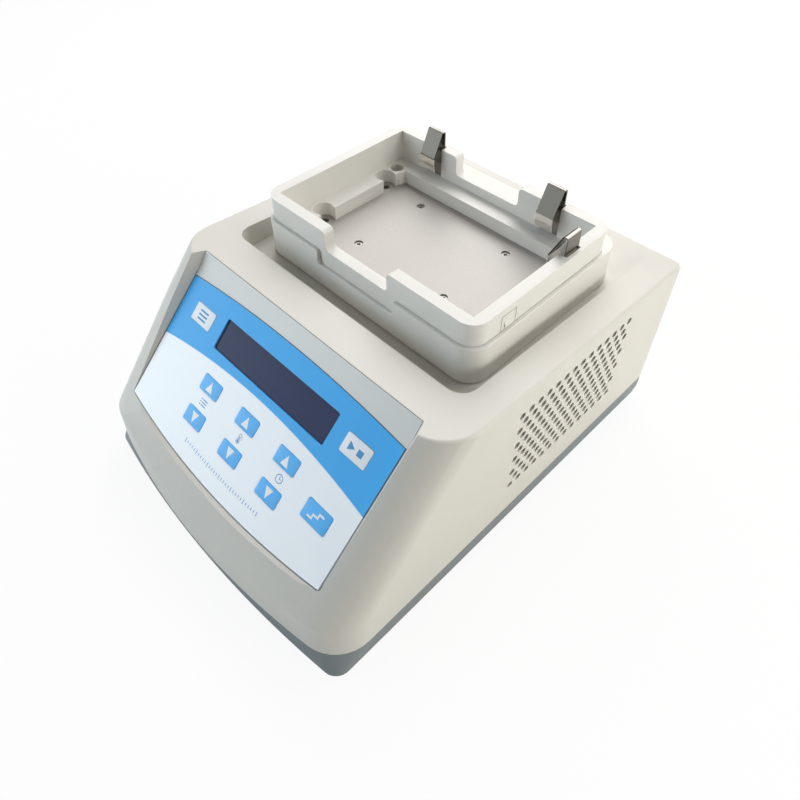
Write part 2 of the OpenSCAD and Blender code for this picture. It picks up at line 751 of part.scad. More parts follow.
// Screws that hold the key board and the display module to the posts
module panel_screws() {
    color([0.7, 0.7, 0.7]) union() {
        panel_posts() translate([0, 0, board_w - board_t]) cylinder(h = panel_screw_l, r = m25);
        panel_posts() translate([0, 0, board_w - board_t - 1.5]) cylinder(h = 1.5, r = 2.2);
        lcd_posts() translate([0, 0, lcd_w - board_t]) cylinder(h = panel_screw_l, r = m25);
        lcd_posts() translate([0, 0, lcd_w - board_t - 1.5]) cylinder(h = 1.5, r = 2.2);
    }
}

// ---- Block tray ----
// Outline of a notch in X and Z: half-width h, floor f, top t, radius r
module notch_outline(h, f, t, r) {
    difference() {
        union() {
            translate([-h, f]) square([2 * h, t - f + 5]);
            translate([-h - r, t - r]) square([2 * (h + r), r + 5]);
        }
        for (s = [-1, 1]) {
            translate([s * (h + r), t - r]) circle(r);
            difference() {
                translate([s * (h - r / 2) - r / 2 - (s > 0 ? 0 : eps), f - eps]) square([r + eps, r + eps]);
                translate([s * (h - r), f + r]) circle(r);
            }
        }
    }
}

// Notch through the front and the rear wall
module notches(h, f, t, r) {
    translate([notch_x, tray_y, 0]) rotate([90, 0, 0])
        linear_extrude(collar_d + 20, center = true) notch_outline(h, f, t, r);
}

// Moves its children to a clip: X along the wall, Y into the wall
module at_clip(i) {
    if (i < 2)
        translate([(2 * i - 1) * clip_x, tray_y + tray_d / 2, 0]) children();
    else
        translate([tray_w / 2, tray_y + clip_y, 0]) rotate([0, 0, -90]) children();
}

// Upper tier: walls, rim, notches, shelves, clip grooves and snap tongues
module block_frame() {
    low = plate_bottom - 0.2;
    color([0.89, 0.88, 0.85]) difference() {
        union() {
            difference() {
                translate([0, tray_y, low]) linear_extrude(rim_z - low) difference() {
                    rounded(frame_w, frame_d, frame_r);
                    square([tray_w, tray_d], center = true);
                }
                notches(notch_w / 2, rim_z - notch_h, rim_z, notch_r);
            }
            shelves();
            // wedges of the snap tongues
            for (s = [-1, 1])
                translate([s * (frame_w / 2 - 0.5), tray_y - 28, collar_z + 2.2]) snap_wedge(s);
        }
        for (i = [0:2])
            at_clip(i) translate([-groove_w / 2, -eps, shelf_z])
                cube([groove_w, groove_d, 60]);
        translate([0, tray_y, low - 1]) four(collar_screw_x, tray_d / 2 + frame_wall / 2)
            cylinder(h = 11, r = m25 + bore_fit);
        // slots that free the snap tongues
        for (s = [-1, 1])
            translate([s * frame_w / 2, tray_y - 28, collar_z + 4]) snap_slot();
    }
}

// Wedge that catches the top edge of the collar, on side s
module snap_wedge(s) {
    scale_x = 1.3;
    rotate([90, 0, 0]) linear_extrude(5.6, center = true)
        polygon([[0, -0.8], [s * scale_x, -0.8], [s * scale_x, 0], [s * 0.6, 2.2], [0, 2.2]]);
}

// Slot round three sides of a snap tongue
module snap_slot() {
    for (s = [-1, 1])
        translate([0, s * 5, 0]) cube([1.6, 0.5, 9.4], center = true);
    translate([0, 0, 4.5]) cube([1.6, 10.4, 0.5], center = true);
}

// Plan of the shelves at the left and the rear, scalloped round the screws, grown by g
module shelf_plan(g) {
    difference() {
        union() {
            translate([-tray_w / 2 - 1, -tray_d / 2 - 1]) square([shelf_w + 1 + g, tray_d + 2]);
            translate([-tray_w / 2 - 1, tray_d / 2 - shelf_d - g]) square([tray_w - 12 + g, shelf_d + 1 + g]);
            translate(shelf_post) circle(post_r + g);
        }
        for (s = [-1, 1])
            translate([-outer_screws[0], s * outer_screws[1]]) union() {
                circle(scallop - g);
                translate([0, g + 0.6 - scallop]) square([12, 2 * (scallop - g - 0.6)]);
            }
    }
}

// Shelves inside the left and the rear wall, seated in the plate's rebate
module shelves() {
    corner_round = 3.5;
    translate([0, tray_y, plate_z - rebate + 0.1]) difference() {
        linear_extrude(shelf_h + rebate - 0.1) shelf_plan(0);
        translate([shelf_post[0], shelf_post[1], shelf_h - corner_round * 2]) cylinder(h = 20, r = post_r - 2.3);
    }
}

// Lower tier: skirt round the block frame with a flange on the well's floor
module frame_collar() {
    flange_t = 2;
    lift = 0.8;
    dip = 8.5;
    height = collar_z - floor_z - lift;
    color([0.86, 0.86, 0.83]) difference() {
        union() {
            difference() {
                translate([0, tray_y, floor_z + lift]) linear_extrude(height) difference() {
                    translate([0, collar_back / 2]) rounded(collar_w, collar_d + collar_back, collar_r);
                    rounded(frame_w + 0.4, frame_d + 0.4, frame_r + 0.2);
                }
                // hollow below the ledge at the rear
                translate([0, tray_y + collar_d / 2 + collar_back / 2 - 1.2, floor_z + lift + height / 2 - 2])
                    cube([frame_w - 24, collar_back - 2, height], center = true);
                translate([notch_x, tray_y - collar_d / 2, 0]) rotate([90, 0, 0])
                    linear_extrude(20, center = true) notch_outline(notch_w / 2 + 5, collar_z - dip, collar_z, 1.5);
            }
            translate([0, tray_y, floor_z]) linear_extrude(flange_t) difference() {
                rounded(frame_w + 1, frame_d + 1, frame_r);
                square([tray_w + 1, tray_d + 1], center = true);
            }
        }
        translate([0, tray_y, floor_z - 1]) four(collar_screw_x, tray_d / 2 + frame_wall / 2)
            cylinder(h = 10, r = m25 + 0.2);
    }
}

// Screws from below the well's floor into the block frame
module collar_screws() {
    color([0.75, 0.75, 0.76]) translate([0, tray_y, floor_z - wall])
        four(collar_screw_x, tray_d / 2 + frame_wall / 2) screw_up(m25, 13, 2.3, 1.6);
}

// Aluminium plate that the block stands on
module heating_plate() {
    color([0.78, 0.77, 0.75]) translate([0, tray_y, plate_bottom]) difference() {
        linear_extrude(plate_t) square([tray_w - 0.4, tray_d - 0.4], center = true);
        four(inner_screws[0], inner_screws[1]) plate_hole();
        four(outer_screws[0], outer_screws[1]) plate_hole();
        // rebate under the shelves
        translate([0, 0, plate_t - rebate]) linear_extrude(1) shelf_plan(0.15);
    }
}

// Clearance hole with a sunk seat for the screw head
module plate_hole() {
    translate([0, 0, -eps]) cylinder(h = plate_t + 1, r = m25 + 0.2);
    translate([0, 0, plate_t - 2.4]) cylinder(h = 5, r = 2.4);
}

// Screws of the heating plate: inner ones to the heat sink, outer to the well
module plate_screws() {
    head_z = plate_z - 2.4;
    color([0.8, 0.8, 0.82]) union() {
        translate([0, tray_y, head_z]) four(inner_screws[0], inner_screws[1])
            rotate([180, 0, 0]) screw_up(m25, head_z - sink_z + 5, 2.25, 1.7);
        translate([0, tray_y, head_z]) four(outer_screws[0], outer_screws[1])
            rotate([180, 0, 0]) screw_up(m25, head_z - floor_z + wall + 6, 2.25, 1.7);
    }
}

// ---- Spring clips ----
// Line with each inner corner turned into a short curve
function bent(p) = concat([p[0]], [for (i = [1:1:len(p) - 2], t = [0:0.25:1])
    let (a = bend_r * unit(p[i - 1] - p[i]), b = bend_r * unit(p[i + 1] - p[i]))
    p[i] + (1 - t) * (1 - t) * a + t * t * b], [p[len(p) - 1]]);
function unit(v) = v / norm(v);
// Point i of a line moved half the sheet's thickness to side s
function beside(p, i, s) = let (a = unit(p[max(i, 1)] - p[max(i, 1) - 1]),
    j = min(i, len(p) - 2), m = unit(a + unit(p[j + 1] - p[j])))
    p[i] + s * clip_t / 2 / (m * a) * [-m[1], m[0]];

// Strip of sheet along a line of points, drawn across its width
module strip(points) {
    p = bent(points);
    last = len(p) - 1;
    rotate([90, 0, 90]) union() {
        linear_extrude(clip_w, center = true)
            polygon(concat([for (i = [0:last]) beside(p, i, 1)], [for (i = [last:-1:0]) beside(p, i, -1)]));
        for (e = [p[0], p[last]]) translate(e) cylinder(h = clip_w, r = clip_t / 2 - 0.02, center = true, $fn = 24);
    }
}

// Fixed leaf: foot in the groove, upright behind the rim and flat top
module clip_hook(i) {
    foot_z = shelf_z + 0.2 + clip_t / 2;
    color([0.7, 0.7, 0.69]) at_clip(i) union() {
        strip([[foot_p, foot_z], [hook_p - 0.6, rim_z - 3], [hook_p, rim_z - 0.8], [hook_p, pivot_z],
            [pivot_p + 0.75, pivot_z]]);
        rotate([90, 0, 90]) linear_extrude(clip_w, center = true)
            translate([hook_p, rim_z - 1.2 - clip_t / 2]) square([groove_d - 0.05 - hook_p, clip_t]);
    }
}

// Sprung leaf: from its fold at the top to the nose and the lip below it
module clip_leaf(i) {
    color([0.74, 0.74, 0.73]) at_clip(i) union() {
        strip([[pivot_p, pivot_z], [0.4 - clip_reach, bend_z], [0.3 - clip_reach, nose_z],
            [1.2 - clip_reach, lip_z]]);
    }
}

// ---- Heating and cooling ----
// Foam ring between the well's floor and the heating plate
module insulation_gasket() {
    color([0.2, 0.2, 0.2]) translate([0, tray_y, floor_z]) linear_extrude(plate_bottom - floor_z) difference() {
        square([tray_w - 1, tray_d - 1], center = true);
        square(floor_hole, center = true);
        for (sx = [-1, 1], sy = [-1, 1])
            translate([sx * outer_screws[0], sy * outer_screws[1]]) circle(m25 + 0.2);
    }
}

// Two thermoelectric modules between the plate and the heat sink
module peltier_modules() {
    color([0.92, 0.92, 0.9])
        for (s = [-1, 1])
            translate([s * 27, tray_y, sink_z + peltier_t / 2]) cube([40, 40, peltier_t], center = true);
}

// Heat sink: base with fins that lead the air to the side vents
module heat_sink() {
    fin_t = 1.2;
    fin_pitch = 6;
    color([0.55, 0.57, 0.6]) translate([0, tray_y, 0]) difference() {
        union() {
            translate([0, 0, sink_z - sink_t / 2]) cube([sink_w, sink_d, sink_t], center = true);
            for (s = [-1, 1], k = [0:6])
                translate([0, s * fin_pitch * (k + 0.5), fin_z + (fin_h + 1) / 2]) cube([sink_w, fin_t, fin_h + 1], center = true);
        }
        four(inner_screws[0], inner_screws[1]) translate([0, 0, sink_z - 6]) cylinder(h = 20, r = m25 + bore_fit);
        four(fan_pitch / 2, fan_pitch / 2) translate([0, 0, sink_z - sink_t - 10]) cylinder(h = 15, r = m3 + bore_fit);
    }
}

// Fan housing with its bearing tube on four struts
module fan_frame() {
    bore = fan_size / 2 - 1.7;
    color([0.12, 0.12, 0.13]) translate([0, tray_y, fan_z]) union() {
        translate([0, 0, 2.6]) linear_extrude(fan_t - 2.6) difference() {
            rounded(fan_size, fan_size, 3);
            circle(bore, $fn = 96);
            four(fan_pitch / 2, fan_pitch / 2) circle(m3 + 0.2);
        }
        linear_extrude(2.6) difference() {
            union() {
                difference() {
                    rounded(fan_size, fan_size, 3);
                    circle(bore, $fn = 96);
                }
                circle(17);
                for (a = [20, 110, 200, 290])
                    rotate(a) translate([12, -2]) square([bore - 11.5, 4]);
            }
            circle(m3 + bore_fit);
            four(fan_pitch / 2, fan_pitch / 2) circle(m3 + 0.2);
        }
        translate([0, 0, 2.6 - eps]) linear_extrude(fan_t - 10) difference() {
            circle(4);
            circle(m3 + bore_fit);
        }
    }
}

// Fan wheel: cup, shaft and seven pitched blades
module fan_rotor() {
    hub = 17.5;
    tip = fan_size / 2 - 3.2;
    low = fan_z + 4.4;
    high = fan_z + fan_t - 1.5;
    color([0.15, 0.15, 0.16]) translate([0, tray_y, 0]) union() {
        translate([0, 0, low]) linear_extrude(high - low) difference() {
            circle(hub);
            circle(hub - 1.6);
        }
        translate([0, 0, high - 2]) cylinder(h = 2, r = hub);
        translate([0, 0, fan_z + 1]) cylinder(h = high - fan_z - 2, r = m3);
        intersection() {
            union() {
                for (i = [0:6])
                    rotate([0, 0, i * 360 / 7]) translate([hub - 1, 0, (low + high) / 2]) rotate([38, 0, 0])
                        translate([0, -12, -0.7]) cube([tip, 24, 1.4]);
            }
            translate([0, 0, low + 0.5]) linear_extrude(high - low - 1) difference() {
                circle(tip);
                circle(hub - 0.8);
            }
        }
    }
}

// Long screws through the fan into the heat sink
module fan_screws() {
    color([0.7, 0.7, 0.72]) translate([0, tray_y, fan_z])
        four(fan_pitch / 2, fan_pitch / 2) screw_up(m3, fan_t + fin_h + 4, 3, 2);
}

// Probe that reads the plate's temperature, in the gap under it
module temperature_probe() {
    color([0.75, 0.75, 0.77]) translate([0, tray_y - 36, plate_bottom - 1.95])
        rotate([-90, 0, 0]) cylinder(h = 40, r = 1.9);
}

// Thermal cut-out against the underside of the plate
module thermal_cutout() {
    color([0.85, 0.8, 0.6]) translate([0, tray_y + 20, plate_bottom - 3.7]) cylinder(h = 3.7, r = 5.5);
}

// ---- Electronics ----
board_z = foot_show + base_floor + 7;
supply_z = foot_show + base_floor + 3;
board_mid = [55.5 - body_w / 2, front_y + 66];
board_size = [80, 70];
supply_mid = [43, front_y + 87];
supply_size = [70, 72, 36];

// Places of the posts under the control board
module board_posts() {
    translate([board_mid[0], board_mid[1], 0]) four(board_size[0] / 2 - 4, board_size[1] / 2 - 4) children();
}

// Places of the posts under the power supply
module supply_posts() {
    translate([supply_mid[0], supply_mid[1], 0]) four(supply_size[0] / 2 - 5, supply_size[1] / 2 - 5) children();
}

// Control board with its processor, drivers, capacitors and sounder
module control_board() {
    color([0.1, 0.36, 0.22]) difference() {
        translate([board_mid[0], board_mid[1], board_z]) union() {
            translate([0, 0, board_t / 2]) cube([board_size[0], board_size[1], board_t], center = true);
            translate([-12, 4, board_t - eps]) cube([14, 14, 1.8]);
            translate([14, -20, board_t - eps]) cube([4, 14, 12]);
            translate([14, 6, board_t - eps]) cube([4, 14, 12]);
            for (i = [0:2]) translate([-28, -20 + 14 * i, board_t - eps]) cylinder(h = 11, r = 4);
            translate([-8, -20, board_t - eps]) cylinder(h = 7, r = 6);
        }
        board_posts() translate([0, 0, board_z - 1]) cylinder(h = 10, r = m25 + 0.2);
    }
}

// Closed switching power supply with mounting tabs
module power_supply() {
    color([0.75, 0.76, 0.77]) translate([supply_mid[0], supply_mid[1], supply_z]) difference() {
        union() {
            translate([-supply_size[0] / 2, -supply_size[1] / 2, 0]) cube([supply_size[0], supply_size[1], 2]);
            translate([-supply_size[0] / 2, -supply_size[1] / 2 + 10, 0])
                cube([supply_size[0], supply_size[1] - 20, supply_size[2]]);
        }
        four(supply_size[0] / 2 - 5, supply_size[1] / 2 - 5) translate([0, 0, -1]) cylinder(h = 5, r = m3 + 0.2);
        for (i = [-4:4])
            translate([i * 7, 0, supply_size[2]]) cube([2.4, 36, 3], center = true);
    }
}

// Screws of the control board and of the power supply
module board_screws() {
    color([0.72, 0.72, 0.73]) union() {
        board_posts() translate([0, 0, board_z + board_t]) rotate([180, 0, 0]) screw_up(m25, board_screw_l, 2.2, 1.5);
        supply_posts() translate([0, 0, supply_z + 2]) rotate([180, 0, 0]) screw_up(m3, supply_screw_l, 2.8, 1.8);
    }
}

// ---- Power entry ----
// Mains inlet: flange, body, keyed socket with three blades, fuse pocket
module mains_inlet() {
    depth = 22;
    face = entry_y + inlet_flange[2];
    color([0.1, 0.1, 0.11]) translate([-inlet_x, 0, entry_z]) union() {
        difference() {
            union() {
                translate([0, entry_y, 0]) rotate([-90, 0, 0]) linear_extrude(inlet_flange[2])
                    rounded(inlet_flange[0], inlet_flange[1], 3);
                translate([-inlet_body[0] / 2, entry_y - depth, -inlet_body[1] / 2])
                    cube([inlet_body[0], depth + 1, inlet_body[1]]);
            }
            translate([0, face - socket[2], socket_dz]) socket_space();
            translate([-drawer[0] / 2 - 0.3, face - drawer[2] - 1.2, drawer_dz - drawer[1] / 2 - 0.3])
                cube([drawer[0] + 0.6, drawer[2] + 10, drawer[1] + 0.6]);
            for (s = [-1, 1])
                translate([s * 20, entry_y - 5, 0]) rotate([-90, 0, 0]) cylinder(h = 20, r = 1.7);
        }
        for (p = [[-7, -1.2], [7, -1.2], [0, 2.8]])
            translate([p[0] - 1, face - socket[2] - 1, socket_dz + p[1] - 2]) cube([2, 11, 4]);
    }
}

// Keyed space of the socket: two upper corners cut off
module socket_space() {
    w = socket[0] / 2;
    h = socket[1] / 2;
    rotate([90, 0, 0]) translate([0, 0, -socket[2] - 5]) linear_extrude(socket[2] + 5)
        polygon([[-w, -h], [w, -h], [w, h - 4.5], [w - 4.5, h], [4.5 - w, h], [-w, h - 4.5]]);
}

// Drawer that holds the mains fuse, with a thumb lip
module fuse_drawer() {
    face = entry_y + inlet_flange[2];
    color([0.12, 0.12, 0.13]) translate([-inlet_x, 0, entry_z + drawer_dz]) union() {
        difference() {
            translate([-drawer[0] / 2, face - drawer[2], -drawer[1] / 2]) cube([drawer[0], drawer[2] + 0.2, drawer[1]]);
            translate([0, face - drawer[2] / 2 - 1, drawer[1] / 2]) cube([drawer[0] - 4, drawer[2] - 4, drawer[1]], center = true);
        }
        translate([-drawer[0] / 2 - 1, face + 0.1, -drawer[1] / 2 - 0.6]) cube([drawer[0] + 2, 1.1, drawer[1] + 1.2]);
    }
}

// Body of the power switch with its rim
module switch_body() {
    rim = 1.4;
    color([0.1, 0.1, 0.11]) translate([switch_x, 0, entry_z]) difference() {
        union() {
            translate([0, entry_y, 0]) rotate([-90, 0, 0]) linear_extrude(rim)
                rounded(switch_hole[0] + 3.4, switch_hole[1] + 3.4, 1.5);
            translate([-switch_hole[0] / 2, entry_y - 14, -switch_hole[1] / 2])
                cube([switch_hole[0], 15, switch_hole[1]]);
        }
        translate([-switch_hole[0] / 2 + 1.2, entry_y - 9, -switch_hole[1] / 2 + 1.2])
            cube([switch_hole[0] - 2.4, 20, switch_hole[1] - 2.4]);
        translate([-10, rocker_y, 0]) rotate([0, 90, 0]) cylinder(h = 20, r = 1 + bore_fit);
    }
}

// Rocker on its trunnions: two faces that meet at a shallow angle
module power_rocker() {
    half = switch_hole[1] / 2 - 1.9;
    width = switch_hole[0] - 3;
    rise = 1.6;
    color([0.14, 0.14, 0.15]) translate([switch_x, rocker_y, entry_z]) union() {
        rotate([-rocker_throw / 2, 0, 0]) across(width)
            polygon([[-3.4, -half * 0.7], [rise + 0.6, -half], [rise - 1.1, 0], [rise + 0.6, half], [-3.4, half * 0.7]]);
        translate([-width / 2 - 1.1, 0, 0]) rotate([0, 90, 0]) cylinder(h = width + 2.2, r = 1);
    }
}

// ---- Fasteners and feet below ----
module base_screws() {
    color([0.6, 0.6, 0.62]) boss_places() translate([0, 0, foot_show + head_sink])
        screw_up(m3, split_z - foot_show - head_sink + boss_h - 8, 2.9, 2.2);
}

// Rubber feet with a peg through the floor
module rubber_feet() {
    color([0.1, 0.1, 0.1])
        for (s = [-1, 1], y = [foot_front_y, foot_rear_y])
            translate([s * foot_x, y, 0]) union() {
                cylinder(h = foot_show, r = foot_r);
                cylinder(h = foot_show + base_floor + 2, r = 2.6);
            }
}

lower_housing();
upper_housing();
front_bezel();
panel_overlay();
display_window();
key_option();
key_start_stop();
arrow_key(-1, 0);  // key_program_up
arrow_key(-1, 1);  // key_program_down
arrow_key(0, 0);  // key_temp_up
arrow_key(0, 1);  // key_temp_down
arrow_key(1, 0);  // key_time_up
arrow_key(1, 1);  // key_time_down
key_multi_step();
display_module();
key_board();
panel_screws();
block_frame();
frame_collar();
heating_plate();
plate_screws();
clip_hook(0);  // clip_hook_rear_left
clip_hook(1);  // clip_hook_rear_right
clip_hook(2);  // clip_hook_side
clip_leaf(0);  // clip_leaf_rear_left
clip_leaf(1);  // clip_leaf_rear_right
clip_leaf(2);  // clip_leaf_side
insulation_gasket();
peltier_modules();
heat_sink();
fan_frame();
fan_rotor();
fan_screws();
temperature_probe();
thermal_cutout();
control_board();
power_supply();
board_screws();
mains_inlet();
fuse_drawer();
switch_body();
power_rocker();
collar_screws();
base_screws();
rubber_feet();
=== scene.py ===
"""Dry block heater: looks, printed panel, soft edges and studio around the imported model."""

import json
import math

import bmesh
import bpy
import numpy as np
from bpy.props import FloatProperty, FloatVectorProperty, PointerProperty
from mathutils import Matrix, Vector

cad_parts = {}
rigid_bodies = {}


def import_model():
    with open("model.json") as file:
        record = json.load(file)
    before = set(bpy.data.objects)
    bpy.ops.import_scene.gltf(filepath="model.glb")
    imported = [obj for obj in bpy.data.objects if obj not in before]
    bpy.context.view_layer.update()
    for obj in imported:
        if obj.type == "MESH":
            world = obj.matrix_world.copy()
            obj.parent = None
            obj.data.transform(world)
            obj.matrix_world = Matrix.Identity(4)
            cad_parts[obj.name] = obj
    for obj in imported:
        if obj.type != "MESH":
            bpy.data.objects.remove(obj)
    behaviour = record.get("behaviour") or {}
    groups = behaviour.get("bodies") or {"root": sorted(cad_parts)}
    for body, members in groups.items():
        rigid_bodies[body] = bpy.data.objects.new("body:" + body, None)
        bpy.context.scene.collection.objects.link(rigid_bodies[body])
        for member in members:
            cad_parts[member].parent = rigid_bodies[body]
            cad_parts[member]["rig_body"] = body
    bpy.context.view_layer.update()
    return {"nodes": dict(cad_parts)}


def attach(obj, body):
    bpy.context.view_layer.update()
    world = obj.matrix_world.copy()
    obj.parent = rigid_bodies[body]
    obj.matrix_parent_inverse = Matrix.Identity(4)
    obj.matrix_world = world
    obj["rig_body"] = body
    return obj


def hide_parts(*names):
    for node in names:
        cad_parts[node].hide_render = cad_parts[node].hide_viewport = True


bl_info = {
    "name": "Dry Block Heater",
    "version": (1, 0, 0),
    "blender": (4, 5, 0),
    "location": "3D View > Sidebar > Heater",
    "description": "Dresses a bench-top dry block heater with its printed panel, finishes and studio",
    "category": "Object",
}

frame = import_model()
NODES = frame["nodes"]
MM = 0.001

# Plane of the printed panel: a point on it, the way down its slope and its outward normal
PANEL_POINT = np.array([0.0, -0.0556, 0.10071])
PANEL_DOWN = np.array([0.0, -0.72537, -0.68835])
PANEL_OUT = np.array([0.0, -0.68835, 0.72537])

# The membrane in that plane, in metres: half its width, the rise of its bowed top, the place of its foot at the
# corners and the fall of its bowed foot
FILM_HALF = 0.07925
FILM_TOP_BOW = 0.0038
FILM_FOOT = 0.074
FILM_FOOT_BOW = 0.0073

# Blue print of the membrane, in metres: its lower edge at the middle, and how far that has dropped at a distance
ARC_MIDDLE = 0.028
ARC_DROP = 0.0073
ARC_AT = 0.079

# Middles of the keys across and down the panel in millimetres, and which way an arrow points: 1 is up the slope
ARROW_KEYS = {
    "key_program_up": (-31.0, 40.6, 1),
    "key_program_down": (-31.0, 58.9, -1),
    "key_temp_up": (0.0, 40.6, 1),
    "key_temp_down": (0.0, 58.9, -1),
    "key_time_up": (31.0, 40.6, 1),
    "key_time_down": (31.0, 58.9, -1),
}
WIDE_KEYS = {
    "key_option": (-59.3, 14.8),
    "key_start_stop": (59.3, 14.8),
    "key_multi_step": (59.3, 49.9),
}
ARROW_KEY_SIZE = (14.8, 8.6)
WIDE_KEY_SIZE = (16.0, 9.8)

# Key caps in millimetres: how much smaller than the key, corner radius, lift of the rim and of the top over the key
CAP_INSET = 0.1
CAP_CORNER = 0.95
CAP_RIM = 0.03
CAP_LIFT = 0.06
# Parts of a cap's plan: how much its rim rolls in, and where its inner rings begin
CAP_ROLL = 0.06
CAP_INNER = 0.86
# A sign on a cap starts inside it, at this height over the key, and has this much root under its own thickness
SIGN_START = 0.055
SIGN_ROOT = 0.01

# Membrane's face below the panel's plane, where the print starts, in millimetres
PRINT_AT = -0.105

# Distances in metres within which points are one: on a new piece, and on a CAD node's copy
WELD = 1e-7
CAD_WELD = 2e-6
# A CAD node's copy, in degrees: edges past the first are rounded, shading breaks past the second, and faces that
# turn by less than the third are one flat face
ROUND_PAST = 32.0
SHADE_BREAK = 30.0
FLAT_BELOW = 0.4

# The collar's wall in plan, in metres: half sizes inside the corner circles, middle in y, and the circles' radius
COLLAR_HALF = (0.0642, 0.0422)
COLLAR_MIDDLE = 0.0418
COLLAR_CORNER = 0.0097
# Heights in metres between which a clip's leaf turns from its bright lower end to its dark slope: painted reflection,
# both tones standing for what the polished steel reflects there
CLIP_REFLECTION_BEND = (0.1274, 0.1282)

# Each soft light: its direction from the heater, distance and size in metres, and screen colour
LAMPS = {
    "key": ((-0.4, 0.6, 0.69), 1.4, 1.1, (254, 253, 252)),
    "top": ((0.25, 0.58, 0.775), 1.4, 1.2, (255, 252, 249)),
    "side": ((0.95, 0.25, 0.22), 1.1, 0.6, (255, 254, 245)),
    "card": ((-0.57, -0.77, 0.31), 1.3, 1.2, (232, 246, 255)),
    "wing": ((-0.78, -0.6, 0.2), 1.2, 0.8, (232, 246, 255)),
}
# Height in metres that every light faces
LAMP_AIM = 0.05

# Camera: place in metres, turn in degrees, shift as parts of the sensor's width, and that width in millimetres
CAMERA_AT = (0.19252, -0.16665, 0.32754)
CAMERA_TURN = (43.511, 1.178, 45.931)
CAMERA_SHIFT = (0.00896, -0.0631)
SENSOR = 36.0

# Floor: radii of its rings in metres, points round each, and its drop below the feet in metres
FLOOR_RINGS = (0.0, 0.5, 1.5, 4.0)
FLOOR_SIDES = 96
FLOOR_DROP = 0.0001


def linear(r, g, b):
    """Screen colour of 0 to 255 as linear light: each channel to the power 2.4 past a short straight toe."""
    c = np.array([r, g, b]) / 255.0
    return tuple(np.where(c <= 0.04045, c / 12.92, ((c + 0.055) / 1.055) ** 2.4).tolist())


# ---------------------------------------------------------------- values a user would change


def lamp(name, description, watts):
    return FloatProperty(name=name, description=description, default=watts, min=0, unit="POWER")


def colour(name, description, rgb):
    return FloatVectorProperty(
        name=name, description=description, subtype="COLOR", size=3, min=0, max=1, default=linear(*rgb)
    )


class HeaterColours(bpy.types.PropertyGroup):
    shell: colour("Shell", "Ivory of the upper housing", (216, 213, 205))
    tray: colour("Tray", "Ivory of the block frame and its collar", (229, 227, 221))
    base: colour("Base", "Grey of the lower housing", (129, 136, 139))
    panel_blue: colour("Panel blue", "Upper print of the membrane and the arrow keys", (50, 180, 255))
    panel_white: colour("Panel white", "Lower print of the membrane and the white keys", (246, 250, 254))
    ink: colour("Ink", "Symbols printed on the white areas", (44, 140, 205))
    window: colour("Window", "Smoked window over the display", (38, 50, 90))
    silver: colour("Silver", "Speckled paint of the bezel", (170, 170, 167))
    plate: colour("Plate", "Bead-blasted heating plate", (168, 164, 160))
    steel: colour("Steel", "Fixed hooks of the spring clips", (128, 124, 118))
    # Painted reflection: the dark tone on the slope of the clips' leaves stands for what the polished steel reflects
    leaf: colour("Leaf steel", "Dark polish on the slope of the clips' leaves", (74, 71, 66))


class HeaterSizes(bpy.types.PropertyGroup):
    edge: FloatProperty(
        name="Edge radius", description="Rounding of moulded edges", default=0.5 * MM, min=0, max=2 * MM,
        unit="LENGTH", precision=5,
    )
    key_dome: FloatProperty(
        name="Key dome", description="Height of the dome on each key", default=0.32 * MM, min=0, max=1 * MM,
        unit="LENGTH", precision=5,
    )
    print_depth: FloatProperty(
        name="Print depth", description="Thickness of the printed symbols", default=0.03 * MM, min=0.01 * MM,
        max=0.2 * MM, unit="LENGTH", precision=6,
    )


class StudioValues(bpy.types.PropertyGroup):
    key_power: lamp("Key light", "Power of the large light behind and to the left", 13.5)
    top_power: lamp("Top light", "Power of the large light above and behind", 8.0)
    side_power: lamp("Side light", "Power of the low light at the right", 5.8)
    card_power: lamp("Front card", "Power of the bluish card at the front left", 8.8)
    wing_power: lamp("Left wing", "Power of the bluish card further round to the left", 1.7)
    world: FloatProperty(name="Room light", description="Strength of the even light all round", default=0.08, min=0)
    lens: FloatProperty(name="Lens", description="Focal length", default=30.003, min=10, unit="CAMERA")


def colours():
    return bpy.context.scene.heater_colours


def measures():
    return bpy.context.scene.heater_sizes


def studio():
    return bpy.context.scene.heater_studio


# ---------------------------------------------------------------- node helpers


class Tree:
    """Adds and links nodes in a tree, left to right."""

    def __init__(self, tree):
        self.tree = tree
        self.count = 0

    def add(self, kind, inputs=None, **settings):
        node = self.tree.nodes.new(kind)
        node.location = (180 * (self.count % 8), -260 * (self.count // 8))
        self.count += 1
        for key, value in settings.items():
            setattr(node, key, value)
        for key, value in (inputs or {}).items():
            self.set(node, key, value)
        return node

    def set(self, node, key, value):
        socket = node.inputs[key]
        if isinstance(value, bpy.types.NodeSocket):
            self.tree.links.new(value, socket)
        else:
            socket.default_value = value

    def math(self, operation, a, b=None):
        node = self.add("ShaderNodeMath", {0: a}, operation=operation)
        if b is not None:
            self.set(node, 1, b)
        return node.outputs[0]

    def plus(self, a, b):
        return self.math("ADD", a, b)

    def minus(self, a, b):
        return self.math("SUBTRACT", a, b)

    def times(self, a, b):
        return self.math("MULTIPLY", a, b)

    def mix(self, factor, a, b, blend="MIX"):
        """Mix of two colours: a Mix node's sockets 6 and 7 are its colours, and output 2 their mix."""
        return self.add("ShaderNodeMix", {0: factor, 6: a, 7: b}, data_type="RGBA", blend_type=blend).outputs[2]

    def ramp(self, value, low, high, to_low=0.0, to_high=1.0):
        return self.add("ShaderNodeMapRange", dict(enumerate((value, low, high, to_low, to_high)))).outputs[0]

    def grey(self, level):
        return self.add("ShaderNodeCombineColor", {0: level, 1: level, 2: level}).outputs[0]

    def split(self, vector):
        return self.add("ShaderNodeSeparateXYZ", {0: vector}).outputs

    def noise(self, where, scale, detail=2.0, rough=0.5):
        return self.add(
            "ShaderNodeTexNoise", {"Vector": where, "Scale": scale, "Detail": detail, "Roughness": rough}
        ).outputs["Fac"]

    def place(self):
        return self.add("ShaderNodeTexCoord").outputs["Object"]


